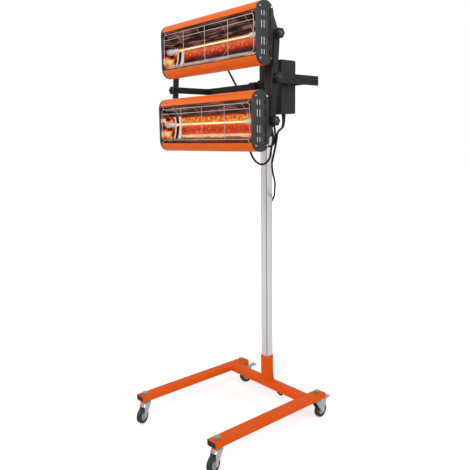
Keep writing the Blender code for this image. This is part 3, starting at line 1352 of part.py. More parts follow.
def build_leads(base):
    """The mains lead in three lengths with its plug, and a lead to each head."""
    step = LEAD_STEP_DIAMETERS * MAINS_DIAMETER
    hank = hank_route()
    points = in_metres(BOX_LEAD_POINTS + MAINS_LEAD_POINTS) + hank[:2]
    route, knots = smooth_route(points, step)
    clip = knots[len(BOX_LEAD_POINTS) - 1]
    start = knots[-2]
    cable("box_lead", route[: clip + 1], MAINS_DIAMETER, base)
    cable("mains_lead", route[clip : start + 1], MAINS_DIAMETER, base)
    cable("mains_hank", hank, MAINS_DIAMETER, base, 1)
    gap, length = least_gap(hank, MAINS_DIAMETER)
    print(f"hank: {length:.3f} m, least gap {gap / mm:.2f} mm")
    piece(mains_plug(hank[-1]), "mains_plug", base, "black_plastic")
    for name, lead in (("upper_head_lead", UPPER_LEAD_POINTS), ("lower_head_lead", LOWER_LEAD_POINTS)):
        route, _ = smooth_route(in_metres(lead), step)
        cable(name, route, HEAD_LEAD_DIAMETER, base)


# Whole lamp


def settle(root, left_out):
    """Move the lamp so that the middle of its footprint is at the origin."""
    bpy.context.view_layer.update()
    corners = []
    for obj in bpy.context.scene.objects:
        if obj.type == "MESH" and obj.name not in left_out:
            corners += [obj.matrix_world @ vertex.co for vertex in obj.data.vertices]
    low = [min(c[i] for c in corners) for i in range(3)]
    high = [max(c[i] for c in corners) for i in range(3)]
    root.location = (-(low[0] + high[0]) / 2, -(low[1] + high[1]) / 2, -low[2])
    bpy.context.view_layer.update()


def main():
    for obj in list(bpy.data.objects):
        bpy.data.objects.remove(obj)
    root = pivot("paint_curing_lamp", None, (0, 0, 0))
    build_base(root)
    build_post(root, root)
    yoke = pivot("yoke_roll", root, (0, 0, ARM_HEIGHT))
    mast = pivot("mast_tilt", yoke, (0, MAST_PIVOT_Y, 0), (-MAST_LEAN, 0, 0))
    build_mast(yoke, mast)
    build_box(yoke)
    for name, way, gland_side in (("upper", 1, HEAD_GLAND_SIDE), ("lower", -1, HEAD_GLAND_SIDE_LOWER)):
        frame = pivot(f"{name}_head_tilt", mast, (0, 0, way * HEAD_PITCH), (MAST_LEAN, 0, 0))
        build_head(name, frame, gland_side)
    build_leads(root)
    settle(root, ("mains_plug",))


if __name__ == "__main__":
    main()
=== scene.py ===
"""Looks of the infrared paint curing lamp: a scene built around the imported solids, laid out as an add-on.

All lengths are in metres in the row frame: X along the lamp heads, -Y the way they shine, Z up from the floor.
"""

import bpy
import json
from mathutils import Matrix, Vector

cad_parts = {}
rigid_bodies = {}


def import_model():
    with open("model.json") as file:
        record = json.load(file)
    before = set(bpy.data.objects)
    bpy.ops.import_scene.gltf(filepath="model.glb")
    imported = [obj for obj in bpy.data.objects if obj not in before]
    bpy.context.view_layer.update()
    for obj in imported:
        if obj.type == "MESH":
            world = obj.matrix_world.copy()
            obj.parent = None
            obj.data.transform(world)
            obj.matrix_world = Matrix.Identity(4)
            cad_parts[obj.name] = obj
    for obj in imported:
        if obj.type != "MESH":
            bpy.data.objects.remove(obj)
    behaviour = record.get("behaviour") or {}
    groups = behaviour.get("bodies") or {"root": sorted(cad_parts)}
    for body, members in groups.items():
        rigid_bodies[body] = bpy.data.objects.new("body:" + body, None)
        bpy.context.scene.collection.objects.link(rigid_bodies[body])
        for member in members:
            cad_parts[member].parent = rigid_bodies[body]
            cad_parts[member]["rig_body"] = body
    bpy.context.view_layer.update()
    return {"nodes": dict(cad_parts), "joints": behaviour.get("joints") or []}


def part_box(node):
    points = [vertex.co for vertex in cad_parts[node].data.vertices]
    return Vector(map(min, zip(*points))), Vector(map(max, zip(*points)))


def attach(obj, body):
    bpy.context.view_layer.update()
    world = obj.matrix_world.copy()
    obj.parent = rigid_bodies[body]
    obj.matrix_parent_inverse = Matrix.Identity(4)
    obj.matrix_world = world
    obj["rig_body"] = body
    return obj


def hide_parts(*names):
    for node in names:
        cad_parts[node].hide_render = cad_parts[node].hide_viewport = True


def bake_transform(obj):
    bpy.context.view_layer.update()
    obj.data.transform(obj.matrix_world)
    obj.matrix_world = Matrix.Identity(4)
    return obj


bl_info = {
    "name": "Paint Curing Lamp",
    "version": (1, 0, 0),
    "blender": (4, 5, 0),
    "location": "View3D > Sidebar > Curing Lamp",
    "description": "Builds an infrared paint curing lamp on its wheeled stand, piece by piece",
    "category": "Add Mesh",
}

import json
import math

import bmesh
import bpy
import numpy as np
from mathutils import Matrix, Vector

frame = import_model()
JOINTS = {joint["name"]: joint for joint in frame["joints"]}
MM = 0.001
HEADS = ("upper", "lower")
HANDS = ((-1, "left"), (1, "right"))
CORNERS = ("front_left", "front_right", "rear_left", "rear_right")

# Points nearer to each other than this become one
MERGE = 0.002 * MM

# Along Y, from the middle that the leads' points are written about to the frame's own
SHIFT_Y = -10.781 * MM

# Sizes of the lamp heads, shared with the solids
HEAD_FORWARD = 35 * MM
HEAD_DEEP = 60 * MM
HEAD_TALL = 165 * MM
SHELL_HALF = 216.7 * MM
SHELL_SHEET = 1.5 * MM
SHELL_RETURN = 5 * MM
LIP_ANGLE = math.radians(13)
MOUTH_HALF = 55.5 * MM
TROUGH_FRONT = -22.5 * MM
TROUGH_BACK = 17 * MM
TUBE_FORWARD = -2.6 * MM
QUARTZ_HALF = 172.7 * MM
COIL_TURNS, COIL_RADIUS = 200, 1.2 * MM
CAP_FACE = 225 * MM
CAP_HOLE = 10 * MM
PLATE_SUNK, WALL_SUNK = 3.4 * MM, 5.2 * MM
SLOT_PITCH = 9.2 * MM
BRACKET_FACE = 228 * MM
SCREW_ACROSS = 19.5 * MM
SCREW_UP = 65.6 * MM
GRILLE_HALF_LONG = 209 * MM
GRILLE_HALF_TALL = 48 * MM
GRILLE_SECOND = 33 * MM
GRILLE_DEPTH = -28.5 * MM
GRILLE_CORNER = 8 * MM
KNOB_TALL = 16 * MM

# Sizes of the leads, and where along a head its gland sits
MAINS_DIAMETER = 6.2 * MM
HEAD_LEAD_DIAMETER = 6 * MM
PLUG_TALL = 19.6 * MM
LEAD_STEP = 2.5 * MM
BOOT_LENGTH, BOOT_THICK, BOOT_THIN = 26 * MM, 5 * MM, 3.9 * MM
BOOT_STEP, RIB_DEPTH = 0.8 * MM, 0.45 * MM
GLAND_SIDE = {"upper": -40 * MM, "lower": 118 * MM}

# The socket's side bolt: out from the post's middle, and up from the floor
BOLT_OUT, BOLT_HEIGHT = 16.4 * MM, 134.3 * MM

# The routes' points in millimetres, as the solids have them
BOX_LEAD_POINTS = [
    (190, 55.5, 984), (190, 55.5, 979.5), (190.6, 53.1, 968.3), (192.4, 46.4, 959.7), (195, 36.5, 955),
    (197.6, 26.6, 950.3), (199.4, 19.9, 941.7), (200, 17, 930), (199.8, 13.5, 913), (197.5, 10, 893),
    (190.5, 11.5, 876), (179, 19.5, 864), (165, 32.8, 853.5), (120, 82.8, 819.9), (70, 140.1, 783),
    (38, 170, 757), (21.5, 185, 743), (9.5, 191, 731), (2, 189.6, 718), (0, 188.2, 709), (0, 188.2, 705),
]
MAINS_LEAD_POINTS = [
    (0, 188.2, 700), (-0.5, 188.8, 660), (-1, 189, 550), (-1, 189, 400), (-2, 189.5, 280), (-4, 192, 190),
    (-4, 197, 130), (-4, 201, 100), (-4, 204, 78), (-3, 212, 50), (-2, 223, 26), (-1.3, 235, 11),
    (-3.8, 247, 4.9), (-11.5, 256.5, 3.5), (-21.5, 261.2, 3.3),
]
UPPER_LEAD_POINTS = [
    (-40, -15.5, 1206.5), (-40, -8.5, 1206.5), (-37, 3, 1199), (-25, 12, 1170), (-4, 14.9, 1134),
    (20, 15.7, 1101), (45, 15.3, 1068.5), (80, 9, 1032), (120, 0, 995), (144, -3, 955), (155, 1, 929),
    (165, 6.5, 913), (177, 12.5, 908), (187, 17.5, 914.5), (190, 20, 928), (188, 23, 941), (182, 28, 951.5),
    (174, 34.5, 960), (167.5, 40, 969), (165, 42, 979.5), (165, 42, 984),
]
LOWER_LEAD_POINTS = [
    (118, -33, 977), (118, -26, 977), (118, -15, 970), (118, -10, 950), (117, -9, 915), (118.5, -9.5, 893),
    (129, -10.5, 877), (145, -12, 864), (165, -8.5, 857), (181, -4.5, 863), (189.5, 0.5, 879), (192, 2.8, 898),
    (193.5, 6.3, 918), (192, 10.5, 934), (184, 16.5, 946.5), (172, 25.5, 954.5), (160, 34.5, 961.5),
    (152.5, 40, 970), (150, 42, 979.5), (150, 42, 984),
]


# Settings that a user would change


class LampColours(bpy.types.PropertyGroup):
    """Colours of the lamp's finishes."""

    head: bpy.props.FloatVectorProperty(
        name="Head paint", description="Enamel of the two lamp heads", subtype="COLOR", size=3,
        default=(1.0, 0.158, 0.001)
    )
    base: bpy.props.FloatVectorProperty(
        name="Base paint", description="Powder coat of the wheeled base", subtype="COLOR", size=3,
        default=(0.93, 0.12, 0.008)
    )
    black: bpy.props.FloatVectorProperty(
        name="Black paint", description="Powder coat of the arms and the sleeve", subtype="COLOR", size=3,
        default=(0.014, 0.014, 0.014)
    )
    silver: bpy.props.FloatVectorProperty(
        name="Post", description="Zinc plate of the lower post", subtype="COLOR", size=3, default=(0.86, 0.86, 0.87)
    )


class LampSizes(bpy.types.PropertyGroup):
    """Small sizes that the solids leave open."""

    edge: bpy.props.FloatProperty(
        name="Edge", description="Rounding of sheared and moulded edges", default=0.5 * MM, unit="LENGTH"
    )
    wire: bpy.props.FloatProperty(
        name="Guard wire", description="Radius of the guard's wires", default=1 * MM, unit="LENGTH"
    )
    filament: bpy.props.FloatProperty(
        name="Filament", description="Radius of the glowing coil", default=1.7 * MM, unit="LENGTH"
    )


# Surfaces


def quads(rows, columns, wrap_rows, wrap_columns):
    """Corner numbers of a grid's quads, row after row, with the last row or column joined to the first if asked."""
    i = np.arange(rows if wrap_rows else rows - 1)
    j = np.arange(columns if wrap_columns else columns - 1)
    i, j = np.meshgrid(i, j, indexing="ij")
    after_i, after_j = (i + 1) % rows, (j + 1) % columns
    corners = (i * columns + j, i * columns + after_j, after_i * columns + after_j, after_i * columns + j)
    return np.stack(corners, -1).reshape(-1, 4)


def surface(name, grids, material, body, sharp=35):
    """One piece from grids, each (points, wrap rows, wrap columns); a row that shrinks to a point closes an end."""
    vertices, faces, start = [], [], 0
    for points, wrap_rows, wrap_columns in grids:
        rows, columns = points.shape[:2]
        vertices.append(points.reshape(-1, 3))
        faces.append(quads(rows, columns, wrap_rows, wrap_columns) + start)
        start += rows * columns
    mesh = bpy.data.meshes.new(name)
    mesh.from_pydata(np.concatenate(vertices).tolist(), [], np.concatenate(faces).tolist())
    return piece(name, mesh, material, body, sharp)


def piece(name, mesh, material, body, sharp):
    """Merge doubles, turn the faces out, smooth what is round, and let the piece ride on its body."""
    bm = bmesh.new()
    bm.from_mesh(mesh)
    bmesh.ops.remove_doubles(bm, verts=bm.verts, dist=MERGE)
    bmesh.ops.recalc_face_normals(bm, faces=bm.faces)
    bm.to_mesh(mesh)
    bm.free()
    mesh.shade_smooth()
    mesh.set_sharp_from_angle(angle=math.radians(sharp))
    mesh.materials.clear()
    mesh.materials.append(material)
    obj = bpy.data.objects.new(name, mesh)
    bpy.context.scene.collection.objects.link(obj)
    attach(obj, body)
    return obj


def axes_about(axis):
    """The axis as a unit vector and two more square to it."""
    axis = np.array(axis, float)
    axis /= np.linalg.norm(axis)
    other = np.array((0, 0, 1.0)) if abs(axis[2]) < 0.9 else np.array((1.0, 0, 0))
    side = np.cross(other, axis)
    side /= np.linalg.norm(side)
    return axis, side, np.cross(axis, side)


def turned(profile, centre, axis, sides=48):
    """Surface of revolution of (radius, height) pairs: centre + height axis + radius (cosine side + sine up)."""
    axis, side, up = axes_about(axis)
    radius, height = np.array(profile, float).T
    angle = np.linspace(0, 2 * math.pi, sides, endpoint=False)
    ring = np.cos(angle)[:, None] * side + np.sin(angle)[:, None] * up
    points = np.array(centre) + height[:, None, None] * axis + radius[:, None, None] * ring
    return (points, False, True)


def tube(points, radius, sides=12, closed=False):
    """Tube along a path: point + radius (cosine normal + sine binormal), the normal carried along without twist."""
    points = np.array(points, float)
    way = np.roll(points, -1, 0) - np.roll(points, 1, 0) if closed else np.gradient(points, axis=0)
    way /= np.linalg.norm(way, axis=1)[:, None]
    normal = [axes_about(way[0])[1]]
    for step in way[1:]:
        carried = normal[-1] - step * (normal[-1] @ step)
        normal.append(carried / np.linalg.norm(carried))
    normal = np.array(normal)
    binormal = np.cross(way, normal)
    angle = np.linspace(0, 2 * math.pi, sides, endpoint=False)
    radius = np.broadcast_to(np.array(radius, float), len(points))[:, None, None]
    ring = np.cos(angle)[None, :, None] * normal[:, None] + np.sin(angle)[None, :, None] * binormal[:, None]
    grid = points[:, None] + radius * ring
    if not closed:
        grid = np.concatenate((points[0] + 0 * grid[:1], grid, points[-1] + 0 * grid[:1]))
    return (grid, closed, True)


def lofted(rings):
    """Skin between rings of points, closed at both ends by rows that shrink to the rings' middles."""
    rings = np.array(rings, float)
    first = rings[:1].mean(axis=1, keepdims=True) + 0 * rings[:1]
    last = rings[-1:].mean(axis=1, keepdims=True) + 0 * rings[-1:]
    return (np.concatenate((first, rings, last)), False, True)


def at_x(x, outline):
    """An outline in Y and Z, set up at one X."""
    return np.column_stack((np.full(len(outline), x), outline))


def in_mm(pairs):
    """Pairs written in millimetres, as lengths."""
    return np.array(pairs, float) * MM


def corners_of(node):
    """The low and the high corner of a solid's box."""
    return (np.array(corner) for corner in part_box(node))


def arc(centre, radius, start, end, count):
    """Points on a circle's arc in a plane, from one angle to another in radians."""
    angle = np.linspace(start, end, count)
    return np.stack((centre[0] + radius * np.cos(angle), centre[1] + radius * np.sin(angle)), -1)


def rounded(wide, tall, corner, count=7):
    """A rectangle with rounded corners about the origin, as quarter circles joined by straights."""
    parts = []
    for quarter, (sx, sy) in enumerate(((1, 1), (-1, 1), (-1, -1), (1, -1))):
        middle = (sx * (wide / 2 - corner), sy * (tall / 2 - corner))
        parts.append(arc(middle, corner, quarter * math.pi / 2, (quarter + 1) * math.pi / 2, count))
    return np.concatenate(parts)


def with_thickness(obj, thickness, edge):
    """Give an open surface its sheet thickness about its middle and a small rounding along its edges."""
    wall = obj.modifiers.new("sheet", "SOLIDIFY")
    wall.thickness = thickness
    wall.offset = 0
    soften(obj, edge)


def soften(obj, width):
    """Round the sharp edges of a piece with two facets that keep the flat faces flat."""
    bevel = obj.modifiers.new("edges", "BEVEL")
    bevel.width = width
    bevel.segments = 2
    bevel.limit_method = "ANGLE"
    bevel.angle_limit = math.radians(32)
    bevel.harden_normals = True


def softened_copy(node, material, body, width):
    """A copy of a solid with its loose triangles merged, its flat faces whole again and its edges rounded."""
    mesh = frame["nodes"][node].data.copy()
    bm = bmesh.new()
    bm.from_mesh(mesh)
    bmesh.ops.remove_doubles(bm, verts=bm.verts, dist=MERGE)
    bmesh.ops.dissolve_limit(bm, angle_limit=math.radians(1), verts=bm.verts, edges=bm.edges)
    bm.to_mesh(mesh)
    bm.free()
    mesh.name = f"{node}_dressed"
    obj = piece(mesh.name, mesh, material, body, 35)
    soften(obj, width)
    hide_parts(node)


def spot(joint):
    """A joint's place in the row frame."""
    return np.array(JOINTS[joint]["pos_m"], float)


# Materials


def socket(group, name, kind, way, default=None):
    """A named input or output of a shared group, with its usual value."""
    made = group.interface.new_socket(name=name, in_out=way, socket_type=kind)
    if default is not None:
        made.default_value = default


def feed(tree, made, values):
    """Fill a node's inputs by name or place: a socket is linked, anything else is set."""
    for key, value in values.items():
        if isinstance(value, bpy.types.NodeSocket):
            tree.links.new(value, made.inputs[key])
        else:
            made.inputs[key].default_value = value
    return made


def shader_node(tree, kind, values=None, **settings):
    """A new shader node with its settings and its inputs filled."""
    made = tree.nodes.new(f"ShaderNode{kind}")
    for key, value in settings.items():
        setattr(made, key, value)
    return feed(tree, made, values or {})


def maths(tree, operation, *values):
    """What a maths node makes of the values in turn."""
    return shader_node(tree, "Math", dict(enumerate(values)), operation=operation).outputs[0]


def dress(material, values):
    """Fill the inputs of a material's own shader."""
    feed(material.node_tree, material.node_tree.nodes["Principled BSDF"], values)
    return material


def surface_grain():
    """Shared group: soft blotches and fine grain on Object coordinates, for colour, roughness and bump."""
    if "Surface grain" in bpy.data.node_groups:
        return bpy.data.node_groups["Surface grain"]
    group = bpy.data.node_groups.new("Surface grain", "ShaderNodeTree")
    for name, kind, usual in (
        ("Colour", "Color", (0.5, 0.5, 0.5, 1)), ("Blotch", "Float", 0.08), ("Blotch Scale", "Float", 12),
        ("Grain Scale", "Float", 900), ("Stretch", "Vector", (1, 1, 1)), ("Smooth", "Float", 0.3),
        ("Rough", "Float", 0.5),
    ):
        socket(group, name, f"NodeSocket{kind}", "INPUT", usual)
    for name, kind in (("Colour", "Color"), ("Roughness", "Float"), ("Height", "Float")):
        socket(group, name, f"NodeSocket{kind}", "OUTPUT")
    given, outside = group.nodes.new("NodeGroupInput").outputs, group.nodes.new("NodeGroupOutput")
    place = shader_node(group, "TexCoord").outputs["Object"]
    place = shader_node(group, "VectorMath", {0: place, 1: given["Stretch"]}, operation="MULTIPLY").outputs[0]
    blotch, grain = (
        shader_node(group, "TexNoise", {"Vector": place, "Scale": given[scale], "Detail": detail}).outputs["Fac"]
        for scale, detail in (("Blotch Scale", 4), ("Grain Scale", 3))
    )
    strength = maths(group, "MULTIPLY_ADD", maths(group, "SUBTRACT", blotch, 0.5), given["Blotch"], 1)
    tint = shader_node(group, "VectorMath", {0: given["Colour"], "Scale": strength}, operation="SCALE")
    mixed = maths(group, "MULTIPLY_ADD", blotch, 0.6, maths(group, "MULTIPLY", grain, 0.4))
    spread = shader_node(group, "MapRange", {"Value": mixed, "From Min": 0.3, "From Max": 0.7,
                                             "To Min": given["Smooth"], "To Max": given["Rough"]})
    feed(group, outside, {"Colour": tint.outputs[0], "Roughness": spread.outputs[0], "Height": grain})
    return group


def finish(name, colour, metallic=0.0, smooth=0.3, rough=0.5, blotch=0.1, blotch_scale=12, grain_scale=900,
           bump=0.1, specular=0.5, stretch=(1, 1, 1)):
    """A material whose colour, roughness and bump all come through the shared grain group."""
    if name in bpy.data.materials:
        return bpy.data.materials[name]
    material = bpy.data.materials.new(name)
    material.use_nodes = True
    tree = material.node_tree
    grain = shader_node(tree, "Group", {
        "Colour": (*colour, 1), "Blotch": blotch, "Blotch Scale": blotch_scale, "Grain Scale": grain_scale,
        "Stretch": stretch, "Smooth": smooth, "Rough": rough,
    }, node_tree=surface_grain()).outputs
    relief = shader_node(tree, "Bump", {"Strength": bump, "Distance": 0.2 * MM, "Height": grain["Height"]})
    return dress(material, {"Base Color": grain["Colour"], "Roughness": grain["Roughness"], "Metallic": metallic,
                            "Normal": relief.outputs["Normal"], "Specular IOR Level": specular})


# Each finish: colour or the panel's name for it, metal, smoothest, roughest, blotches, their scale, the grain's
# scale, bump, shine and, where the grain is drawn out, its stretch
FINISHES = {
    "Orange head enamel": ("head", 0, 0.34, 0.46, 0.08, 9, 420, 0.04, 0.16),
    "Base powder coat": ("base", 0, 0.4, 0.54, 0.12, 14, 1300, 0.18, 0.08),
    "Black powder coat": ("black", 0, 0.42, 0.6, 0.25, 20, 1500, 0.3, 0.2),
    "Box powder coat": ((0.022, 0.022, 0.023), 0, 0.42, 0.58, 0.2, 18, 1400, 0.3, 0.2),
    "End cap powder coat": ((0.048, 0.048, 0.05), 0, 0.45, 0.62, 0.25, 20, 1500, 0.3, 0.22),
    "Post zinc plate": ("silver", 0.3, 0.25, 0.42, 0.06, 6, 260, 0.06, 0.5, (8, 8, 0.4)),
    "Bright zinc": ((0.62, 0.63, 0.65), 0.9, 0.22, 0.45, 0.3, 60, 500, 0.08),
    "Passivated zinc": ((0.34, 0.32, 0.25), 0.7, 0.25, 0.5, 0.5, 90),
    "Chromed wire": ((0.5, 0.42, 0.41), 0.8, 0.24, 0.36, 0.05, 12, 400, 0.02),
    "Plug brass": ((0.72, 0.5, 0.2), 1.0, 0.2, 0.35, 0.1, 80, 500, 0.05, 0.5, (1, 6, 6)),
    "Moulded black plastic": ((0.018, 0.018, 0.018), 0, 0.35, 0.55, 0.2, 40, 2200, 0.22, 0.25),
    "Rocker plastic": ((0.02, 0.02, 0.02), 0, 0.18, 0.3),
    "Knob cap": ((0.035, 0.035, 0.036), 0, 0.25, 0.4),
    "Hub plastic": ((0.45, 0.46, 0.47), 0, 0.4, 0.55, 0.1, 50, 1800, 0.15),
    "Pedal plastic": ((0.5, 0.5, 0.49), 0, 0.4, 0.55, 0.08),
    "Tyre rubber": ((0.02, 0.028, 0.025), 0, 0.55, 0.8, 0.4, 50, 1800, 0.4),
    "Cable sheath": ((0.012, 0.012, 0.013), 0, 0.42, 0.6, 0.2, 30, 1600, 0.12, 0.2),
    "Tie webbing": ((0.03, 0.03, 0.032), 0, 0.7, 0.9, 0.3, 12, 1800, 0.6),
    "White ceramic": ((0.85, 0.82, 0.76), 0, 0.4, 0.6, 0.08, 60, 1400),
    "Pale mica plate": ((0.8, 0.78, 0.74), 0, 0.4, 0.6, 0.1, 40),
    "Quartz": ((1.0, 0.62, 0.38), 0, 0.04, 0.1, 0.1, 12, 300, 0.01),
    "Filament": ((1.0, 0.7, 0.4), 0, 0.3, 0.5, 0.1, 12, 300),
    "Studio floor": ((0.88, 0.88, 0.88), 0, 0.75, 0.9, 0, 12, 900, 0, 0.1),
}


def plain(name):
    """One of the finishes as it stands in the table."""
    colour, *rest = FINISHES[name]
    if isinstance(colour, str):
        colour = getattr(bpy.context.scene.lamp_colours, colour)
    return finish(name, colour, *rest)


def colour_ramp(tree, value, stops):
    """Colours blended between stops of (place, red, green, blue), by a value."""
    made = shader_node(tree, "ValToRGB", {"Fac": value})
    elements = made.color_ramp.elements
    while len(elements) < len(stops):
        elements.new(0.5)
    for element, (place, *colour) in zip(elements, stops):
        element.position, element.color = place, (*colour, 1)
    return made.outputs["Color"]


def post_plate():
    """Bright plate with painted shade along its rolled corners, darker by how near a point lies to the post's corners.
    """
    name = "Post zinc plate"
    if name in bpy.data.materials:
        return bpy.data.materials[name]
    material = plain(name)
    tree = material.node_tree
    low, high = corners_of("lower_post")
    half = (high[0] - low[0]) / 2
    place = shader_node(tree, "TexCoord").outputs["Object"]
    middle = ((low[0] + high[0]) / 2, low[1] + half, 0)
    place = shader_node(tree, "VectorMath", {0: place, 1: middle}, operation="SUBTRACT").outputs[0]
    apart = shader_node(tree, "SeparateXYZ", {0: place}).outputs
    nearest = maths(tree, "MINIMUM", *(maths(tree, "ABSOLUTE", apart[letter]) for letter in "XY"))
    # Painted shade: the colour falls towards the rolled corners
    shade = shader_node(tree, "MapRange", {"Value": nearest, "From Min": half - 3.2 * MM, "From Max": half - 1.2 * MM,
                                           "To Min": 1, "To Max": 0.3})
    grained = tree.nodes["Principled BSDF"].inputs["Base Color"].links[0].from_socket
    tint = shader_node(tree, "VectorMath", {0: grained, "Scale": shade.outputs[0]}, operation="SCALE")
    return dress(material, {"Base Color": tint.outputs[0]})


def glass():
    """Clear quartz with a warm glow of its own."""
    return dress(plain("Quartz"), {"Alpha": 0.22, "Emission Color": (1.0, 0.2, 0.05, 1), "Emission Strength": 0.15})


def glowing_coil():
    """White-hot wire."""
    return dress(plain("Filament"), {"Emission Color": (1.0, 0.46, 0.29, 1), "Emission Strength": 1.8})


def streaks():
    """Shared group: wavy streaks and short specks along a trough for its painted reflection, by its own UV, and where a
    point lies on it.
    """
    if "Trough streaks" in bpy.data.node_groups:
        return bpy.data.node_groups["Trough streaks"]
    group = bpy.data.node_groups.new("Trough streaks", "ShaderNodeTree")
    socket(group, "Stretch", "NodeSocketVector", "INPUT", (9, 42, 1))
    socket(group, "Cells", "NodeSocketVector", "INPUT", (46, 15, 1))
    for name in ("Streak", "Speck", "Across", "Along"):
        socket(group, name, "NodeSocketFloat", "OUTPUT")
    given, outside = group.nodes.new("NodeGroupInput").outputs, group.nodes.new("NodeGroupOutput")
    place = shader_node(group, "UVMap", uv_map="trough").outputs["UV"]
    for size, name, detail, bend in (("Stretch", "Streak", 5, 0.6), ("Cells", "Speck", 2, 0.3)):
        drawn = shader_node(group, "VectorMath", {0: place, 1: given[size]}, operation="MULTIPLY").outputs[0]
        noise = {"Vector": drawn, "Scale": 1, "Detail": detail, "Distortion": bend}
        feed(group, outside, {name: shader_node(group, "TexNoise", noise).outputs["Fac"]})
    apart = shader_node(group, "SeparateXYZ", {0: place}).outputs
    feed(group, outside, {"Across": apart["Y"], "Along": apart["X"]})
    return group


# Painted reflection of the lit tube in each trough, from its lower lip (0) to its upper lip (1), as (place, red, green,
# blue)
PAINTED_REFLECTION_BANDS = {
    "upper": (
        (0.0, 0.012, 0.004, 0.003), (0.04, 0.5, 0.3, 0.25), (0.07, 0.75, 0.5, 0.42), (0.1, 0.02, 0.006, 0.005),
        (0.2, 0.012, 0.003, 0.002), (0.25, 0.16, 0.01, 0.004), (0.31, 0.48, 0.025, 0.005), (0.38, 0.62, 0.045, 0.007),
        (0.46, 0.75, 0.14, 0.03), (0.5, 0.3, 0.06, 0.03), (0.55, 0.03, 0.01, 0.01), (0.62, 0.14, 0.045, 0.035),
        (0.68, 0.02, 0.008, 0.008), (0.8, 0.09, 0.035, 0.03), (0.87, 0.012, 0.006, 0.006), (1.0, 0.06, 0.03, 0.03),
    ),
    "lower": (
        (0.0, 0.01, 0.003, 0.002), (0.08, 0.012, 0.003, 0.003), (0.12, 0.35, 0.05, 0.01), (0.155, 1.0, 0.62, 0.3),
        (0.19, 1.0, 0.7, 0.4), (0.22, 0.6, 0.09, 0.014), (0.3, 0.5, 0.02, 0.004), (0.38, 0.6, 0.03, 0.005),
        (0.45, 0.75, 0.09, 0.012), (0.5, 0.85, 0.2, 0.025), (0.6, 0.75, 0.14, 0.014), (0.68, 0.6, 0.08, 0.01),
        (0.72, 0.2, 0.02, 0.005), (0.75, 0.01, 0.006, 0.006), (0.9, 0.012, 0.008, 0.008), (1.0, 0.05, 0.025, 0.02),
    ),
}
# Colours of the painted reflection's blotches of light
PAINTED_REFLECTION_BLOTCHES = ((0.36, 0.03, 0.006, 0.004), (0.45, 0.5, 0.035, 0.006), (0.53, 0.85, 0.2, 0.02), (0.62, 1.0, 0.72, 0.32))


# Painted glints in each trough: how rare they are, the heights they lie between, and their colour
PAINTED_GLINTS = {
    "upper": ((0.56, 0.3, 0.46, (1.0, 0.34, 0.05)),),
    "lower": ((0.5, 0.5, 0.7, (1.0, 0.46, 0.07)), (0.56, 0.24, 0.44, (0.9, 0.16, 0.02))),
}
# Emission strength of the painted reflections
PAINTED_REFLECTION_STRENGTH = 0.85


class PaintedReflection:
    """Builds one trough's painted reflection as emission: each layer is a colour laid over what is there, where its
    masks meet.
    """

    def __init__(self, name, roughness):
        self.material = finish(name, (0.012, 0.008, 0.008), metallic=1.0, smooth=roughness, rough=roughness + 0.14,
                               blotch=0.5, grain_scale=200, bump=0.05)
        self.tree = self.material.node_tree
        fine = shader_node(self.tree, "Group", node_tree=streaks()).outputs
        coarse = shader_node(self.tree, "Group", {"Stretch": (3.5, 17, 1), "Cells": (21, 6, 1)},
                             node_tree=streaks()).outputs
        self.streak, self.speck, self.across, self.along = (fine[k] for k in ("Streak", "Speck", "Across", "Along"))
        self.band, self.patch = coarse["Streak"], coarse["Speck"]
        self.colour = None

    def math(self, operation, *values):
        """A maths node in this trough's own material."""
        return maths(self.tree, operation, *values)

    def gained(self, value, gain):
        """A value times a gain, held between 0 and 1."""
        return self.math("MINIMUM", self.math("MAXIMUM", self.math("MULTIPLY", value, gain), 0), 1)

    def between(self, value, low, high, gain=150):
        """A soft mask that is 1 where the value lies between two others: half their distance less how far it is off."""
        away = self.math("ABSOLUTE", self.math("SUBTRACT", value, (low + high) / 2))
        return self.gained(self.math("SUBTRACT", (high - low) / 2, away), gain)

    def above(self, value, level, gain):
        """A soft mask that is 1 where the value lies above a level."""
        return self.gained(self.math("SUBTRACT", value, level), gain)

    def lay(self, colour, *masks):
        """Lay a colour over what is there, by the product of its masks."""
        shown = masks[0]
        for mask in masks[1:]:
            shown = self.math("MULTIPLY", shown, mask)
        if not isinstance(colour, bpy.types.NodeSocket):
            colour = (*colour, 1)
        mix = shader_node(self.tree, "Mix", {"Factor": shown, "A": self.colour, "B": colour}, data_type="RGBA")
        self.colour = mix.outputs["Result"]

    def done(self):
        """The material, with the layers laid so far given off as its painted reflection."""
        return dress(self.material, {"Emission Color": self.colour, "Emission Strength": PAINTED_REFLECTION_STRENGTH})


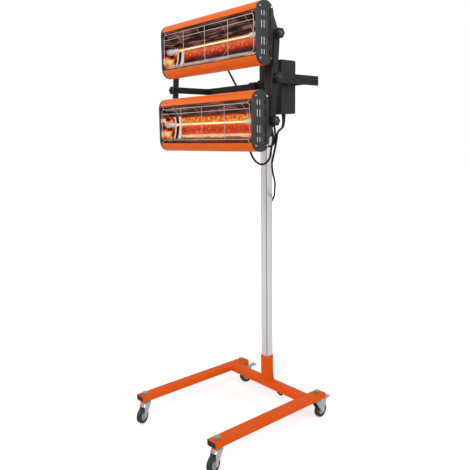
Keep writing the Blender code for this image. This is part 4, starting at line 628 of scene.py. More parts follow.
def trough(head):
    """Polished sheet with a painted reflection of the lit tube in bands, broken by streaks, painted glints and a
    painted faint mirror image of the guard.
    """
    name = f"Polished trough {head}"
    if name in bpy.data.materials:
        return bpy.data.materials[name]
    glow = PaintedReflection(name, 0.12)
    is_upper = head == "upper"
    # Painted reflection of the lit tube: bands across the trough, shifted by the streaks
    shifted = glow.math("MULTIPLY_ADD", glow.math("SUBTRACT", glow.streak, 0.5), 0.16, glow.across)
    glow.colour = colour_ramp(glow.tree, shifted, PAINTED_REFLECTION_BANDS[head])
    # Painted reflection in the trough's upper part: warm patches, then dark ones
    top = glow.between(glow.across, 0.54 if is_upper else 0.76, 1.1, 60)
    glow.lay((0.3, 0.13, 0.1), glow.above(glow.band, 0.53, 22), top, glow.above(glow.streak, 0.42, 10))
    glow.lay((0.005, 0.003, 0.003), glow.above(glow.math("SUBTRACT", 1, glow.band), 0.52, 22), top)
    # Painted glints
    for level, low, high, colour in PAINTED_GLINTS[head]:
        glow.lay(colour, glow.above(glow.speck, level, 12), glow.between(glow.across, low, high, 40))
    # Painted highlight near the upper trough's right end
    if is_upper:
        glow.lay((0.4, 0.34, 0.29), glow.between(glow.along, 0.9, 0.985, 60), glow.between(glow.across, 0.66, 0.84, 30))
    # Painted reflection of the guard: faint pale lines across the trough
    spread = glow.math("FRACT", glow.math("MULTIPLY", glow.along, 4))
    glow.lay((0.5, 0.26, 0.2), glow.between(spread, 0.462, 0.5, 60), glow.above(glow.patch, 0.4, 8),
             glow.between(glow.across, 0.04, 0.97))
    # Painted reflection at the trough's left end: blotches of light, then a pale band with a dark band in it, bowed
    # with the trough
    inner = glow.between(glow.across, *((0.07, 0.56) if is_upper else (0.1, 0.73)))
    rise = glow.math("ABSOLUTE", glow.math("MULTIPLY_ADD", glow.across, 2, -1))
    bowed = glow.math("MULTIPLY_ADD", glow.math("SUBTRACT", 1, glow.math("POWER", rise, 2)), 0.09, glow.along)
    glow.lay(colour_ramp(glow.tree, glow.patch, PAINTED_REFLECTION_BLOTCHES), glow.between(bowed, -1, 0.13), inner)
    glow.lay((0.85, 0.76, 0.7), glow.between(bowed, 0.125, 0.215), inner)
    glow.lay((0.004, 0.003, 0.003), glow.between(bowed, 0.14, 0.182), inner)
    return glow.done()


def end_mirror(head):
    """Polished end wall with a painted reflection of the trough's blotched glow."""
    name = f"Polished end {head}"
    if name in bpy.data.materials:
        return bpy.data.materials[name]
    glow = PaintedReflection(name, 0.2)
    # Painted reflection: dull bands, then blotches of light across the wall
    dull = ((0.4, 0.008, 0.004, 0.004), (0.5, 0.06, 0.02, 0.016), (0.6, 0.3, 0.14, 0.1))
    glow.colour = colour_ramp(glow.tree, glow.band, dull)
    top = 0.56 if head == "upper" else 0.74
    glow.lay(colour_ramp(glow.tree, glow.patch, PAINTED_REFLECTION_BLOTCHES), glow.between(glow.across, 0.08, top, 30))
    return glow.done()


# Leads


def smooth(points, spacing):
    """A natural cubic spline through the points, sampled at the spacing, with the place of each point in it."""
    points = np.array(points, float)
    chord = np.linalg.norm(np.diff(points, axis=0), axis=1)
    system, right = np.eye(len(points)), np.zeros_like(points)
    for i in range(1, len(points) - 1):
        before, after = chord[i - 1], chord[i]
        system[i, i - 1 : i + 2] = (before, 2 * (before + after), after)
        right[i] = 6 * ((points[i + 1] - points[i]) / after - (points[i] - points[i - 1]) / before)
    bend = np.linalg.solve(system, right)
    route, knots = [points[:1]], [0]
    for i, length in enumerate(chord):
        steps = math.ceil(length / spacing)
        b = (np.arange(1, steps + 1) / steps)[:, None]
        a = 1 - b
        curve = ((a**3 - a) * bend[i] + (b**3 - b) * bend[i + 1]) * length * length / 6
        route.append(a * points[i] + b * points[i + 1] + curve)
        knots.append(knots[-1] + steps)
    return np.concatenate(route), knots


def placed(points):
    """A lead's points in millimetres, moved to where the lamp stands."""
    return in_mm(points) + (0, SHIFT_Y, 0)


# The hank of spare lead that lies behind the base
HANK_LEFT, HANK_RIGHT = -126 * MM, -29 * MM
HANK_MIDDLE_X = (HANK_LEFT + HANK_RIGHT) / 2
HANK_INNER, HANK_OUTER = 18.6 * MM, 25.7 * MM
HANK_MIDDLE_Y = 258.8 * MM + MAINS_DIAMETER / 2 + HANK_OUTER
HANK_LOW = MAINS_DIAMETER / 2 + 0.1 * MM
HANK_HIGH = HANK_LOW + 7.1 * MM
HANK_WAIST = 4 * MM
TAIL_LENGTH, TAIL_SHIFT = 40 * MM, -16 * MM
PLUG_HEIGHT = PLUG_TALL / 2 + 0.1 * MM


def hank_points():
    """Two long loops, drawn in at the waist, and the free end that lifts to the plug."""
    route = []

    def run(start, end, side, radius, from_z, to_z):
        share = np.arange(5) / 5
        x = start + (end - start) * share
        waist = HANK_WAIST * np.cos(math.pi * (x - HANK_MIDDLE_X) / (HANK_RIGHT - HANK_LEFT)) ** 2
        route.append(np.stack((x, HANK_MIDDLE_Y + side * (radius - waist), from_z + (to_z - from_z) * share), -1))

    def fold(x, y, radius, start, end, z):
        bent = arc((x, y), radius, math.radians(start), math.radians(end), 7)[:-1]
        route.append(np.column_stack((bent, np.full(6, z))))

    half_step = (HANK_OUTER - HANK_INNER) / 2
    run(HANK_RIGHT, HANK_LEFT, -1, HANK_OUTER, HANK_LOW, HANK_LOW)
    fold(HANK_LEFT, HANK_MIDDLE_Y, HANK_OUTER, 270, 90, HANK_LOW)
    run(HANK_LEFT, HANK_RIGHT, 1, HANK_OUTER, HANK_LOW, HANK_LOW)
    fold(HANK_RIGHT, HANK_MIDDLE_Y + half_step, HANK_INNER + half_step, 90, -90, HANK_LOW)
    run(HANK_RIGHT, HANK_LEFT, -1, HANK_INNER, HANK_LOW, HANK_HIGH)
    fold(HANK_LEFT, HANK_MIDDLE_Y, HANK_INNER, 270, 90, HANK_HIGH)
    run(HANK_LEFT, HANK_RIGHT, 1, HANK_INNER, HANK_HIGH, HANK_HIGH)
    share = np.arange(5) / 4
    ease = share * share * (3 - 2 * share)
    tail = (HANK_RIGHT + TAIL_LENGTH * share, HANK_MIDDLE_Y + HANK_INNER + TAIL_SHIFT * ease,
            HANK_HIGH + (PLUG_HEIGHT - HANK_HIGH) * ease)
    route.append(np.stack(tail, -1))
    route.append(route[-1][-1:] + (MAINS_DIAMETER, 0, 0))
    return np.concatenate(route) + (0, SHIFT_Y, 0)


def lead(name, route, diameter, material, bodies, nodes, with_pieces=()):
    """A round lead along a route between two bodies, taken off its body and fixed in place, with the solids it stands
    for hidden.
    """
    obj = surface(name, [tube(route, diameter / 2, 16)], material, bodies[0])
    obj.parent = None
    del obj["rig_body"]
    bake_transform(obj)
    if nodes:
        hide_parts(*nodes)


def strain_relief(name, route, length, thick, thin, body):
    """A ribbed boot round the first part of a lead: its radius falls from thick to thin and swells at each rib."""
    points, _ = smooth(route, BOOT_STEP)
    far = np.concatenate(([0], np.cumsum(np.linalg.norm(np.diff(points, axis=0), axis=1))))
    points, far = points[far <= length], far[far <= length]
    share = far / length
    between_ribs = (np.cos(far / MM * 2 * math.pi / 4) < -0.2) * (share > 0.2)
    radius = thick + (thin - thick) * share - RIB_DEPTH * between_ribs
    surface(name, [tube(points, radius, 20)], plain("Moulded black plastic"), body)


def mains_plug_pieces(end):
    """A moulded plug: rounded rectangles along X that swell from the lead, with two flat blades and an earth pin."""
    x, y, z = end
    rings = in_mm((
        (0.3, 8, 8, 3.9), (1.5, 9.5, 9.2, 4.4), (6, 13, 11.5, 5), (12, 18, 14.5, 5.6), (18, 23.5, 17.8, 6),
        (22, 25.6, 19.2, 6), (26, 26, 19.6, 6), (48, 26, 19.6, 6), (50, 25.4, 19, 5.6), (50.8, 23, 17, 4.6),
    ))
    rings = [at_x(x + ahead, rounded(wide, tall, corner, 8) + (y, z)) for ahead, wide, tall, corner in rings]
    body = surface("mains_plug_body", [lofted(rings)], plain("Moulded black plastic"), "base", 40)
    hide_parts("mains_plug")
    face = x + 50.3 * MM
    grids = []
    for way in (-1, 1):
        middle = (y + way * 6.35 * MM, z)
        grids.append(lofted([
            at_x(face + ahead * MM, rounded(1.6 * MM - slim * 0.4 * MM, 6.5 * MM - 2 * slim * MM, 0.3 * MM, 3) + middle)
            for ahead, slim in ((-2, 0), (13.4, 0), (15.2, 0.9))
        ]))
    pin = in_mm(((0, -2), (2.4, -2), (2.4, 13), (1.9, 14.6), (0.9, 15.3), (0, 15.4)))
    grids.append(turned(pin, (face, y, z - 3 * MM), (1, 0, 0), 24))
    return [body, surface("mains_plug_blades", grids, plain("Plug brass"), "base")]


def hank_tie():
    """A strap round the waist of the hank: the hull of the strands' circles, widened by the strap and swept along X."""
    reach = MAINS_DIAMETER / 2 + 0.35 * MM
    outer, inner = HANK_OUTER - HANK_WAIST, HANK_INNER - HANK_WAIST
    strands = ((-outer, HANK_LOW), (outer, HANK_LOW), (-inner, (HANK_LOW + HANK_HIGH) / 2), (inner, HANK_HIGH))
    angle = np.linspace(0, 2 * math.pi, 72, endpoint=False)
    ways = np.stack((np.cos(angle), np.sin(angle)), -1)
    support = (np.array(strands) @ ways.T).max(axis=0) + reach
    slope = (np.roll(support, -1) - np.roll(support, 1)) / (angle[2] - angle[0])
    square = np.stack((-ways[:, 1], ways[:, 0]), -1)
    path = support[:, None] * ways + slope[:, None] * square
    path[:, 1] = np.maximum(path[:, 1], 0.3 * MM)
    rim = ((-6, 0), (-5.7, 0.6), (5.7, 0.6), (6, 0), (5.7, -0.25), (-5.7, -0.25))
    rows = []
    for x, out in rim:
        yz = path + ways * out * MM
        yz[:, 1] = np.maximum(yz[:, 1], 0.05 * MM)
        rows.append(at_x(HANK_MIDDLE_X + x * MM, yz + (HANK_MIDDLE_Y + SHIFT_Y, 0)))
    return surface("hank_tie", [(np.array(rows), True, True)], plain("Tie webbing"), "base")


def build_leads():
    """The mains lead with its plug, tie and boot, and the head leads, each parted where it passes between joints."""
    sheath = plain("Cable sheath")
    hank = hank_points()
    points = np.concatenate((placed(BOX_LEAD_POINTS + MAINS_LEAD_POINTS), hank))
    route, knots = smooth(points, LEAD_STEP)
    # By point: the yoke's stretch lies between the first two, the lead is parted at the third, and the
    # post's stretch runs from the fourth down to the clip
    leaves, before, parting, after = 7, 14, 15, 16
    plug = mains_plug_pieces(hank[-1])
    lead("mains_lead_upper", route[: knots[parting] + 1], MAINS_DIAMETER, sheath, ("yoke", "sleeve"),
         ("box_lead",))
    lead("mains_lead_lower", route[knots[parting] :], MAINS_DIAMETER, sheath, ("sleeve", "base"),
         ("mains_lead", "mains_hank"), plug + [hank_tie()])
    strain_relief("mains_strain_relief", points[:6], BOOT_LENGTH, BOOT_THICK, BOOT_THIN, "yoke")
    # Each head's lead: the point where it is parted, and the two that its box end lies between
    for head, spots, split, near, far in (
        ("upper", UPPER_LEAD_POINTS, 6, 7, 11), ("lower", LOWER_LEAD_POINTS, 9, 10, 16)
    ):
        points = placed(spots)
        route, knots = smooth(points, LEAD_STEP)
        lead(f"{head}_lead_head_end", route[: knots[split] + 1], HEAD_LEAD_DIAMETER, sheath, (f"{head}_head", "mast"),
             (f"{head}_head_lead",))
        lead(f"{head}_lead_box_end", route[knots[split] :], HEAD_LEAD_DIAMETER, sheath, ("mast", "yoke"),
             ())


# Lamp heads


def head_middle(head):
    """The middle of a head, forward of the line that it tilts about."""
    return spot(f"{head}_head_tilt") - (0, HEAD_FORWARD, 0)


def extruded(outline, half, centre):
    """A sheet: an outline in Y and Z drawn out along X."""
    outline = np.array(outline) + centre[1:]
    return (np.array([at_x(centre[0] + x, outline) for x in (-half, half)]), False, False)


def build_shell(head):
    """The head's skin: two arcs joined by a flat back, with lips that turn back into the mouth."""
    centre = head_middle(head)
    radius, rise = (HEAD_DEEP - SHELL_SHEET) / 2, (HEAD_TALL - HEAD_DEEP) / 2
    upper = arc((0, rise), radius, math.pi - LIP_ANGLE, 0, 40)
    lower = arc((0, -rise), radius, 0, LIP_ANGLE - math.pi, 40)
    path = np.concatenate((upper[:1] + (SHELL_RETURN, 0), upper, lower, lower[-1:] + (SHELL_RETURN, 0)))
    body = f"{head}_head"
    obj = surface(f"{head}_shell_skin", [extruded(path, SHELL_HALF, centre)], plain("Orange head enamel"), body, 40)
    with_thickness(obj, SHELL_SHEET, 0.5 * MM)
    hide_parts(f"{head}_shell")
    back = centre + (GLAND_SIDE[head], HEAD_DEEP / 2, 0)
    nut = in_mm(((0, -1.4), (7.4, -1.4), (8, -0.8), (8, 4), (7.4, 4.5), (0, 4.5)))
    dome = in_mm(((6.6, 4), (6.8, 5), (6.6, 8.6), (5.6, 9.8), (3.4, 10), (3.4, 4)))
    surface(f"{head}_gland", [turned(nut, back, (0, 1, 0), 6), turned(dome, back, (0, 1, 0), 36)[:1] + (True, True)],
            plain("Moulded black plastic"), body)


def lay_uv(obj, centre, line, length):
    """UV called trough: U runs along one line of space over a length, V up from the mouth's lower lip to its upper."""
    mesh = obj.data
    places = np.empty(len(mesh.vertices) * 3)
    mesh.vertices.foreach_get("co", places)
    corners = np.empty(len(mesh.loops), int)
    mesh.loops.foreach_get("vertex_index", corners)
    places = places.reshape(-1, 3)[corners]
    along = (places[:, line] - centre[line]) / length + 0.5
    across = (places[:, 2] - centre[2]) / (2 * MOUTH_HALF) + 0.5
    mesh.uv_layers.new(name="trough").data.foreach_set("uv", np.stack((along, across), -1).ravel())


def build_reflector(head):
    """The bright trough: a parabola across, drawn along X, with a lip on each edge and its own UV."""
    centre = head_middle(head)
    share = np.linspace(1, -1, 49)
    curve = np.stack((TROUGH_BACK - (TROUGH_BACK - TROUGH_FRONT) * share**2, MOUTH_HALF * share), -1)
    lip = 2.2 * MM
    path = np.concatenate(((curve[0] + (0, lip))[None], curve, (curve[-1] - (0, lip))[None]))
    obj = surface(f"{head}_trough", [extruded(path, SHELL_HALF - 0.6 * MM, centre)], trough(head), f"{head}_head", 40)
    lay_uv(obj, centre, 0, 2 * SHELL_HALF)
    with_thickness(obj, 1 * MM, 0.2 * MM)
    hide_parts(f"{head}_reflector")


def build_tube(head):
    """The quartz tube with ceramic ends and the coil inside it, wound as a helix about X."""
    centre = head_middle(head) + (0, TUBE_FORWARD, 0)
    body = f"{head}_head"
    quartz = in_mm(((0, 0), (5.2, 0), (5.5, 1), (5.5, -1), (5.2, 0), (0, 0)))
    quartz[:3, 1] -= QUARTZ_HALF
    quartz[3:, 1] += QUARTZ_HALF
    glassware = surface(f"{head}_quartz", [turned(quartz, centre, (1, 0, 0), 32)], glass(), body)
    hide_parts(f"{head}_tube")
    angle = np.linspace(0, 2 * math.pi * COIL_TURNS, COIL_TURNS * 12)
    along = np.linspace(-165, 167, len(angle)) * MM
    helix = np.stack((along, COIL_RADIUS * np.cos(angle), COIL_RADIUS * np.sin(angle)), -1)
    wire = bpy.context.scene.lamp_sizes.filament / 3
    surface(f"{head}_filament", [tube(centre + helix, wire, 4)], glowing_coil(), body)
    ceramic = in_mm((
        (0, -5), (6.1, -5), (6.6, -4), (7, -2), (7, 14), (6.4, 14.6), (6.4, 17), (7, 17.6), (7, 30), (9, 30.8),
        (9.9, 31.6), (9.9, 46.4), (7, 46.6), (7, 49), (6.4, 50), (0, 50),
    )) + (0, QUARTZ_HALF)
    ends = [turned(ceramic * (1, side), centre, (1, 0, 0), 32) for side in (-1, 1)]
    surface(f"{head}_ceramics", ends, plain("White ceramic"), body)


def build_guard(head):
    """The welded guard: a rounded frame, its cross wires and a long one near the top, and legs back to the lips."""
    centre = head_middle(head) + (0, GRILLE_DEPTH, 0)
    radius = bpy.context.scene.lamp_sizes.wire
    outline = rounded(2 * GRILLE_HALF_LONG, 2 * GRILLE_HALF_TALL, GRILLE_CORNER, 9)
    frame_wire = np.column_stack((outline[:, 0], np.zeros(len(outline)), outline[:, 1]))
    grids = [tube(centre + frame_wire, radius, 12, True)]
    for k in (1, 2, 3):
        x = GRILLE_HALF_LONG * (k / 2 - 1)
        rise = np.linspace(-GRILLE_HALF_TALL, GRILLE_HALF_TALL, 3)
        grids.append(tube(centre + np.column_stack((np.full(3, x), np.full(3, -0.4 * MM), rise)), radius * 0.94, 12))
    across = np.linspace(-GRILLE_HALF_LONG, GRILLE_HALF_LONG, 3)
    along = np.column_stack((across, np.full(3, 0.3 * MM), np.full(3, GRILLE_SECOND)))
    grids.append(tube(centre + along, radius * 0.9, 12))
    for side in (-1, 1):
        for rise in (-1, 1):
            corner = np.array((side * (GRILLE_HALF_LONG - GRILLE_CORNER), 0, rise * GRILLE_HALF_TALL))
            leg = np.array(((0, 0, 0), (1.2, 0.2, 2.2), (3.2, 1.2, 5.6), (5, 2.5, 9))) * MM * (side, 1, rise)
            grids.append(tube(centre + corner + leg, radius * 0.9, 12))
    obj = surface(f"{head}_guard", grids, plain("Chromed wire"), f"{head}_head", 50)
    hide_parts(f"{head}_grille")


def screw_head(places, axis, radius, rise):
    """Low domes: a quarter of an ellipse turned about the axis at each place."""
    angle = np.linspace(0, math.pi / 2, 7)
    profile = np.stack((radius * np.cos(angle), rise * np.sin(angle)), -1)
    profile = np.concatenate((((radius, -0.4 * MM),), profile))
    return [turned(profile, place, axis, 24) for place in places]


def slot_plate():
    """Pale plate behind the caps' slots with painted light, by its UV: two front columns painted lit, the third dim,
    the last in painted shade, all given off as emission.
    """
    name = "Pale mica plate"
    if name in bpy.data.materials:
        return bpy.data.materials[name]
    material = plain(name)
    tree = material.node_tree
    apart = shader_node(tree, "SeparateXYZ", {0: shader_node(tree, "TexCoord").outputs["UV"]})
    stops = ((0.46, 0.95, 0.92, 0.86), (0.54, 0.24, 0.23, 0.21), (0.72, 0.2, 0.192, 0.18),
             (0.78, 0.015, 0.0144, 0.0135))
    painted_light = colour_ramp(tree, apart.outputs["X"], stops)
    return dress(material, {"Base Color": painted_light, "Emission Color": painted_light, "Emission Strength": 0.5})


def build_caps(head):
    """The slotted end caps, with a pale plate of painted light and a polished wall with a painted reflection behind the
    slots, and four screws in each.
    """
    centre = head_middle(head)
    body = f"{head}_head"
    outline = rounded(HEAD_DEEP - 6 * MM, HEAD_TALL - 6 * MM, 26.9 * MM, 12)
    angle = np.arctan2(outline[:, 1], outline[:, 0])
    hole = CAP_HOLE * np.stack((np.cos(angle), np.sin(angle)), -1) + (TUBE_FORWARD, 0)
    for side, hand in HANDS:
        softened_copy(f"{head}_{hand}_cap", plain("End cap powder coat"), body, 0.25 * MM)
        # The plate shows painted light behind the slots; the end wall, a painted reflection of the trough
        for name, sunk, material, length in (("plate", PLATE_SUNK, slot_plate(), 4 * SLOT_PITCH),
                                             ("end_wall", WALL_SUNK, end_mirror(head), 2 * SHELL_HALF)):
            rows = centre + np.array([at_x(side * (CAP_FACE - sunk), ring) for ring in (outline, hole)])
            sheet = surface(f"{head}_{hand}_{name}", [(rows, False, True)], material, body)
            lay_uv(sheet, centre, 1, length)
            with_thickness(sheet, 0.5 * MM, 0.1 * MM)
        screws = []
        for face, across, radius, rise in ((CAP_FACE, -SCREW_ACROSS, 3.3 * MM, 1.6 * MM),
                                           (BRACKET_FACE - 0.05 * MM, SCREW_ACROSS, 3.2 * MM, 0.3 * MM)):
            places = [centre + (side * face, across, way * SCREW_UP) for way in (-1, 1)]
            screws += screw_head(places, (side, 0, 0), radius, rise)
        surface(f"{head}_{hand}_screws", screws, plain("Bright zinc"), body)


# Knobs

# Radius, height and lobe depth of a clamp knob, in millimetres
KNOB_PROFILE = (
    (0, 0.1, 0), (9, 0.1, 0), (9.2, 0.5, 0), (9.2, 2.7, 0), (11.4, 3.2, 0.4), (13, 4, 0.9), (13.8, 5, 1.1),
    (14, 6.2, 1.1), (14, 12, 1.1), (13.7, 13.8, 1.1), (12.9, 15, 0.9), (11.6, 15.8, 0.6), (10.2, 16, 0.3),
    (8.6, 15.7, 0.05), (7.6, 14.9, 0), (7.4, 14.5, 0), (0, 14.5, 0),
)


def build_knob(node, joint, axis, body):
    """A lobed clamp knob with its stud: the radius less lobe depth times (1 - cosine of six times the angle)."""
    way = np.array(axis, float)
    line = int(np.argmax(np.abs(way)))
    low, high = corners_of(node)
    outer, inner = (high, low) if way[line] > 0 else (low, high)
    base = spot(joint) if joint != "height_knob_turn" else (low + high) / 2
    base[line] = outer[line] - way[line] * KNOB_TALL
    radius, height, lobe = (np.array(KNOB_PROFILE) * MM).T
    axis, side, up = axes_about(way)
    angle = np.linspace(0, 2 * math.pi, 96, endpoint=False)
    reach = radius[:, None] - lobe[:, None] * (1 - np.cos(6 * angle)[None])
    ring = np.cos(angle)[:, None] * side + np.sin(angle)[:, None] * up
    grip = base + height[:, None, None] * axis + reach[:, :, None] * ring
    stud = abs(base[line] - inner[line])
    grids = [(grip, False, True)]
    if stud > 1 * MM:
        shank = ((0, -stud), (2.6 * MM, -stud), (3 * MM, 0.5 * MM - stud), (3 * MM, 1 * MM), (0, 1 * MM))
        grids.append(turned(shank, base, axis, 16))
    obj = surface(f"{node}_grip", grids, plain("Moulded black plastic"), body, 42)
    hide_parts(node)
    cap = ((0, 14.2), (6.6, 14.2), (6.6, 15.1), (6, 15.5), (0, 15.7))
    surface(f"{node}_cap", [turned(in_mm(cap), base, axis, 32)], plain("Knob cap"), body)


# Casters


def build_caster(corner):
    """A caster: tyre and hub turned about the axle, with the pressed fork, stem and, at the rear, the brake pedal."""
    roll = JOINTS[f"{corner}_wheel_roll"]
    centre, axis = np.array(roll["pos_m"], float), roll["axis"]
    body = f"{corner}_roller"
    tread = in_mm(((15, 6.6), (15.4, 7.6), (16.4, 8.2), (22.4, 8.5), (23.6, 8), (24.5, 6.6), (24.85, 4), (24.85, 0)))
    tread[:, 0] = np.minimum(tread[:, 0], centre[2])
    ring = np.concatenate((tread, tread[-2::-1] * (1, -1)))
    tyre = surface(f"{corner}_tyre", [(turned(ring, centre, axis, 96)[0], True, True)], plain("Tyre rubber"), body, 50)
    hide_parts(f"{corner}_caster_wheel")
    side = in_mm(((15.2, 6.9), (14.2, 7.2), (13.6, 6.2), (9.6, 5.9), (8.4, 6.6), (8, 8.3), (7.2, 8.5), (4, 8.5)))
    ring = np.concatenate((side, side[::-1] * (1, -1)))
    surface(f"{corner}_hub", [(turned(ring, centre, axis, 72)[0], True, True)], plain("Hub plastic"), body, 40)
    softened_copy(f"{corner}_caster_fork", plain("Bright zinc"), f"{corner}_swivel", 0.35 * MM)
    softened_copy(f"{corner}_caster_stem", plain("Passivated zinc"), "base", 0.35 * MM)
    if corner.startswith("rear"):
        softened_copy(f"{corner}_brake_pedal", plain("Pedal plastic"), f"{corner}_brake", 0.5 * MM)


# Operators


def build_heads():
    """Both heads, piece by piece."""
    for head in HEADS:
        build_shell(head)
        build_reflector(head)
        build_tube(head)
        build_guard(head)
        build_caps(head)


def build_knobs():
    """A clamp knob at each end of the heads and arms, on the yoke and on the height clamp."""
    for head in HEADS:
        for side, hand in HANDS:
            build_knob(f"{head}_{hand}_knob", f"{head}_{hand}_knob_turn", (side, 0, 0), f"{head}_{hand}_clamp")
    for side, hand in HANDS:
        build_knob(f"{hand}_arm_knob", f"{hand}_arm_knob_turn", (side, 0, 0), f"{hand}_arm_clamp")
    build_knob("yoke_knob", "yoke_knob_turn", (0, 1, 0), "yoke_clamp")
    build_knob("height_knob", "height_knob_turn", (-1, 0, 0), "height_clamp")


def build_arms():
    """The uprights, the yoke and its hub, as softened copies of their solids."""
    for node, body in (("left_upright", "mast"), ("right_upright", "mast"), ("yoke_bar", "yoke"), ("right_arm", "yoke"),
                       ("yoke_hub", "sleeve")):
        softened_copy(node, plain("Black powder coat"), body, bpy.context.scene.lamp_sizes.edge)


def build_box():
    """The control box with its cover, timer knob and rocker switches."""
    for node, material, body, edge in (
        ("control_box", "Box powder coat", "yoke", 0.5), ("box_cover", "Black powder coat", "yoke", 0.4),
        ("timer_dial", "Moulded black plastic", "timer", 0.5), ("left_switch", "Rocker plastic", "left_rocker", 0.4),
        ("right_switch", "Rocker plastic", "right_rocker", 0.4),
    ):
        softened_copy(node, plain(material), body, edge * MM)


def build_post():
    """The plated post and the black sleeve on it."""
    softened_copy("lower_post", post_plate(), "base", 0.4 * MM)
    softened_copy("upper_post", plain("Black powder coat"), "sleeve", 0.4 * MM)


def build_rail_end(node, way):
    """The rail's own end as a painted rim, and a dark plug sunk in it: rounded outlines stepped along Y."""
    low, high = corners_of(node)
    centre, size = (low + high) / 2, high - low
    outer = high[1] if way > 0 else low[1]
    rim, seat = 1.6 * MM, 2.4 * MM

    def ring(inset, depth):
        across, up = rounded(size[0] - 2 * inset, size[2] - 2 * inset, max(2.2 * MM - inset, 0.6 * MM)).T
        return np.column_stack((centre[0] + across, np.full(len(up), outer - way * depth), centre[2] + up))

    steps = ((0, seat), (0, 0.3 * MM), (0.3 * MM, 0), (rim - 0.3 * MM, 0), (rim, 0.3 * MM), (rim, seat))
    rows = np.array([ring(*step) for step in steps])
    surface(f"{node}_rim", [(rows, True, True)], plain("Base powder coat"), "base", 30)
    steps = ((rim, seat), (rim, 1.2 * MM), (rim + 1 * MM, 0.8 * MM), (rim + 1.6 * MM, 1 * MM),
             (rim + 2.4 * MM, 1.8 * MM), (8 * MM, 1.8 * MM))
    rows = [ring(*step) for step in steps]
    back, front = (row * 0 + row.mean(0) for row in (rows[0], rows[-1]))
    rows = np.array([back, *rows, front])
    plug = surface(f"{node}_insert", [(rows, False, True)], plain("Moulded black plastic"), "base", 40)
    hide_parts(node)


def build_base():
    """The rails, crossbar and socket, the bolt in the socket's side and the rails' end plugs."""
    for node in ("left_rail", "right_rail", "base_crossbar", "post_socket"):
        softened_copy(node, plain("Base powder coat"), "base", 0.4 * MM)
    low, high = corners_of("lower_post")
    bolt = ((low[0] + high[0]) / 2 + BOLT_OUT, low[1] + (high[0] - low[0]) / 2, BOLT_HEIGHT)
    surface("socket_side_bolt", screw_head([bolt], (1, 0, 0), 3.6 * MM, 2.2 * MM), plain("Bright zinc"), "base")
    for side in ("left", "right"):
        for end in ("front", "rear"):
            build_rail_end(f"{side}_rail_{end}_plug", -1 if end == "front" else 1)


def build_casters():
    """A caster at each corner of the base."""
    for corner in CORNERS:
        build_caster(corner)


# Stage

CAMERA_PLACE = (1.33279, -1.133581, 0.93309)
CAMERA_WAY = (-0.74547, 0.64400, -0.17184)
CAMERA_ROLL = math.radians(-0.78)
CAMERA_LENS = 42.63


def build_camera():
    """A camera that looks along its way, level but for a small roll."""
    way = Vector(CAMERA_WAY).normalized()
    level = way.cross(Vector((0, 0, 1))).normalized()
    up = level.cross(way)
    right = math.cos(CAMERA_ROLL) * level + math.sin(CAMERA_ROLL) * up
    top = -math.sin(CAMERA_ROLL) * level + math.cos(CAMERA_ROLL) * up
    data = bpy.data.cameras.new("camera")
    data.lens, data.sensor_width = CAMERA_LENS, 36
    data.clip_start, data.clip_end = 0.05, 60
    camera = bpy.data.objects.new("camera", data)
    turn = Matrix((right, top, -way)).transposed().to_4x4()
    camera.matrix_world = Matrix.Translation(CAMERA_PLACE) @ turn
    bpy.context.scene.collection.objects.link(camera)
    bpy.context.scene.camera = camera


def soft_light(name, place, size, power, aim=(0, 0, 0.7)):
    """A round area light that looks at the lamp's middle."""
    data = bpy.data.lights.new(name, "AREA")
    data.shape = "DISK"
    data.size = size
    data.energy = power
    lamp = bpy.data.objects.new(name, data)
    lamp.location = place
    lamp.rotation_euler = (Vector(aim) - Vector(place)).to_track_quat("-Z", "Y").to_euler()
    bpy.context.scene.collection.objects.link(lamp)


def studio_floor():
    """White floor that is lifted to the sky's white away from the lamp, so that only its soft shadows show."""
    material = plain("Studio floor")
    tree = material.node_tree
    place = shader_node(tree, "TexCoord").outputs["Object"]
    far = shader_node(tree, "VectorMath", {0: place}, operation="LENGTH").outputs["Value"]
    rise = shader_node(tree, "MapRange", {"Value": far, "From Min": 0.35, "From Max": 1.3, "To Min": 0.5, "To Max": 1})
    lift = maths(tree, "MULTIPLY", rise.outputs[0], shader_node(tree, "LightPath").outputs["Is Camera Ray"])
    return dress(material, {"Emission Strength": lift, "Emission Color": (1, 1, 1, 1)})


def studio_sky():
    """A sky that is pure white where it is seen, mirrored or looked at through glass, and dimmer as a light."""
    world = bpy.data.worlds.new("studio")
    bpy.context.scene.world = world
    world.use_nodes = True
    tree = world.node_tree
    path = shader_node(tree, "LightPath").outputs
    seen = maths(tree, "MAXIMUM", path["Is Camera Ray"], path["Is Glossy Ray"])
    seen = maths(tree, "MAXIMUM", seen, path["Is Transmission Ray"])
    level = shader_node(tree, "MapRange", {"Value": seen, "To Min": 0.42, "To Max": 1})
    feed(tree, tree.nodes["Background"], {"Color": (1, 1, 1, 1), "Strength": level.outputs[0]})


def build_stage():
    """White room: the camera, a pale floor that keeps soft shadows, three lights and the sky."""
    build_camera()
    mesh = bpy.data.meshes.new("floor")
    reach = 14
    corners = [(x * reach, y * reach, 0) for x, y in ((-1, -1), (1, -1), (1, 1), (-1, 1))]
    mesh.from_pydata(corners, [], [(0, 1, 2, 3)])
    floor = bpy.data.objects.new("floor", mesh)
    mesh.materials.append(studio_floor())
    bpy.context.scene.collection.objects.link(floor)
    soft_light("key", (1.9, -2.2, 2.9), 2.2, 42)
    soft_light("side", (2.8, 1.2, 1.9), 1.8, 18)
    soft_light("fill", (-2.4, -1.9, 2.1), 2.4, 20)
    studio_sky()


class LampBuild:
    """What the lamp's operators share: they build their pieces and finish."""

    bl_options = {"REGISTER", "UNDO"}

    def execute(self, context):
        type(self).build()
        return {"FINISHED"}


class LAMP_OT_stage(LampBuild, bpy.types.Operator):
    """Add the white studio, its lights and the camera"""

    bl_idname = "lamp.stage"
    bl_label = "Stage"
    build = staticmethod(build_stage)


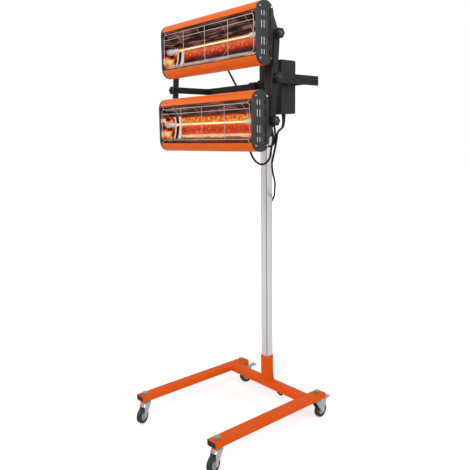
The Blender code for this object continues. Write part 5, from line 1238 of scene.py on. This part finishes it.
class LAMP_OT_leads(LampBuild, bpy.types.Operator):
    """Add the mains lead with its plug and hank, and the two head leads"""

    bl_idname = "lamp.leads"
    bl_label = "Leads"
    build = staticmethod(build_leads)


class LAMP_OT_heads(LampBuild, bpy.types.Operator):
    """Add both lamp heads: shells, troughs, tubes, guards and caps"""

    bl_idname = "lamp.heads"
    bl_label = "Lamp Heads"
    build = staticmethod(build_heads)


class LAMP_OT_knobs(LampBuild, bpy.types.Operator):
    """Add the lobed clamp knobs"""

    bl_idname = "lamp.knobs"
    bl_label = "Clamp Knobs"
    build = staticmethod(build_knobs)


class LAMP_OT_arms(LampBuild, bpy.types.Operator):
    """Add the uprights, the yoke and its hub"""

    bl_idname = "lamp.arms"
    bl_label = "Arms"
    build = staticmethod(build_arms)


class LAMP_OT_box(LampBuild, bpy.types.Operator):
    """Add the control box with its timer and switches"""

    bl_idname = "lamp.box"
    bl_label = "Control Box"
    build = staticmethod(build_box)


class LAMP_OT_post(LampBuild, bpy.types.Operator):
    """Add the post and the sleeve that slides on it"""

    bl_idname = "lamp.post"
    bl_label = "Post"
    build = staticmethod(build_post)


class LAMP_OT_base(LampBuild, bpy.types.Operator):
    """Add the rails, crossbar, socket and end plugs"""

    bl_idname = "lamp.base"
    bl_label = "Base"
    build = staticmethod(build_base)


class LAMP_OT_casters(LampBuild, bpy.types.Operator):
    """Add the four casters"""

    bl_idname = "lamp.casters"
    bl_label = "Casters"
    build = staticmethod(build_casters)


OPERATORS = (LAMP_OT_stage, LAMP_OT_leads, LAMP_OT_heads, LAMP_OT_knobs, LAMP_OT_arms, LAMP_OT_box, LAMP_OT_post,
             LAMP_OT_base, LAMP_OT_casters)


class LAMP_PT_panel(bpy.types.Panel):
    """Colours, sizes and a button for each group of pieces"""

    bl_idname = "LAMP_PT_panel"
    bl_label = "Curing Lamp"
    bl_space_type = "VIEW_3D"
    bl_region_type = "UI"
    bl_category = "Curing Lamp"

    def draw(self, context):
        layout = self.layout
        for settings in (context.scene.lamp_colours, context.scene.lamp_sizes):
            for key in settings.bl_rna.properties.keys():
                if key not in ("rna_type", "name"):
                    layout.prop(settings, key)
        for operator in OPERATORS:
            layout.operator(operator.bl_idname)


CLASSES = (LampColours, LampSizes, *OPERATORS, LAMP_PT_panel)


def register():
    for each in CLASSES:
        bpy.utils.register_class(each)
    bpy.types.Scene.lamp_colours = bpy.props.PointerProperty(type=LampColours)
    bpy.types.Scene.lamp_sizes = bpy.props.PointerProperty(type=LampSizes)


def unregister():
    del bpy.types.Scene.lamp_sizes
    del bpy.types.Scene.lamp_colours
    for each in reversed(CLASSES):
        bpy.utils.unregister_class(each)


def main():
    register()
    for leftover in [o for o in bpy.data.objects if o.type in ("CAMERA", "LIGHT")]:
        bpy.data.objects.remove(leftover)
    bpy.context.scene.view_settings.view_transform = "Standard"
    bpy.ops.lamp.stage()
    bpy.ops.lamp.leads()
    bpy.ops.lamp.heads()
    bpy.ops.lamp.knobs()
    bpy.ops.lamp.arms()
    bpy.ops.lamp.box()
    bpy.ops.lamp.post()
    bpy.ops.lamp.base()
    bpy.ops.lamp.casters()


if __name__ == "__main__":
    main()
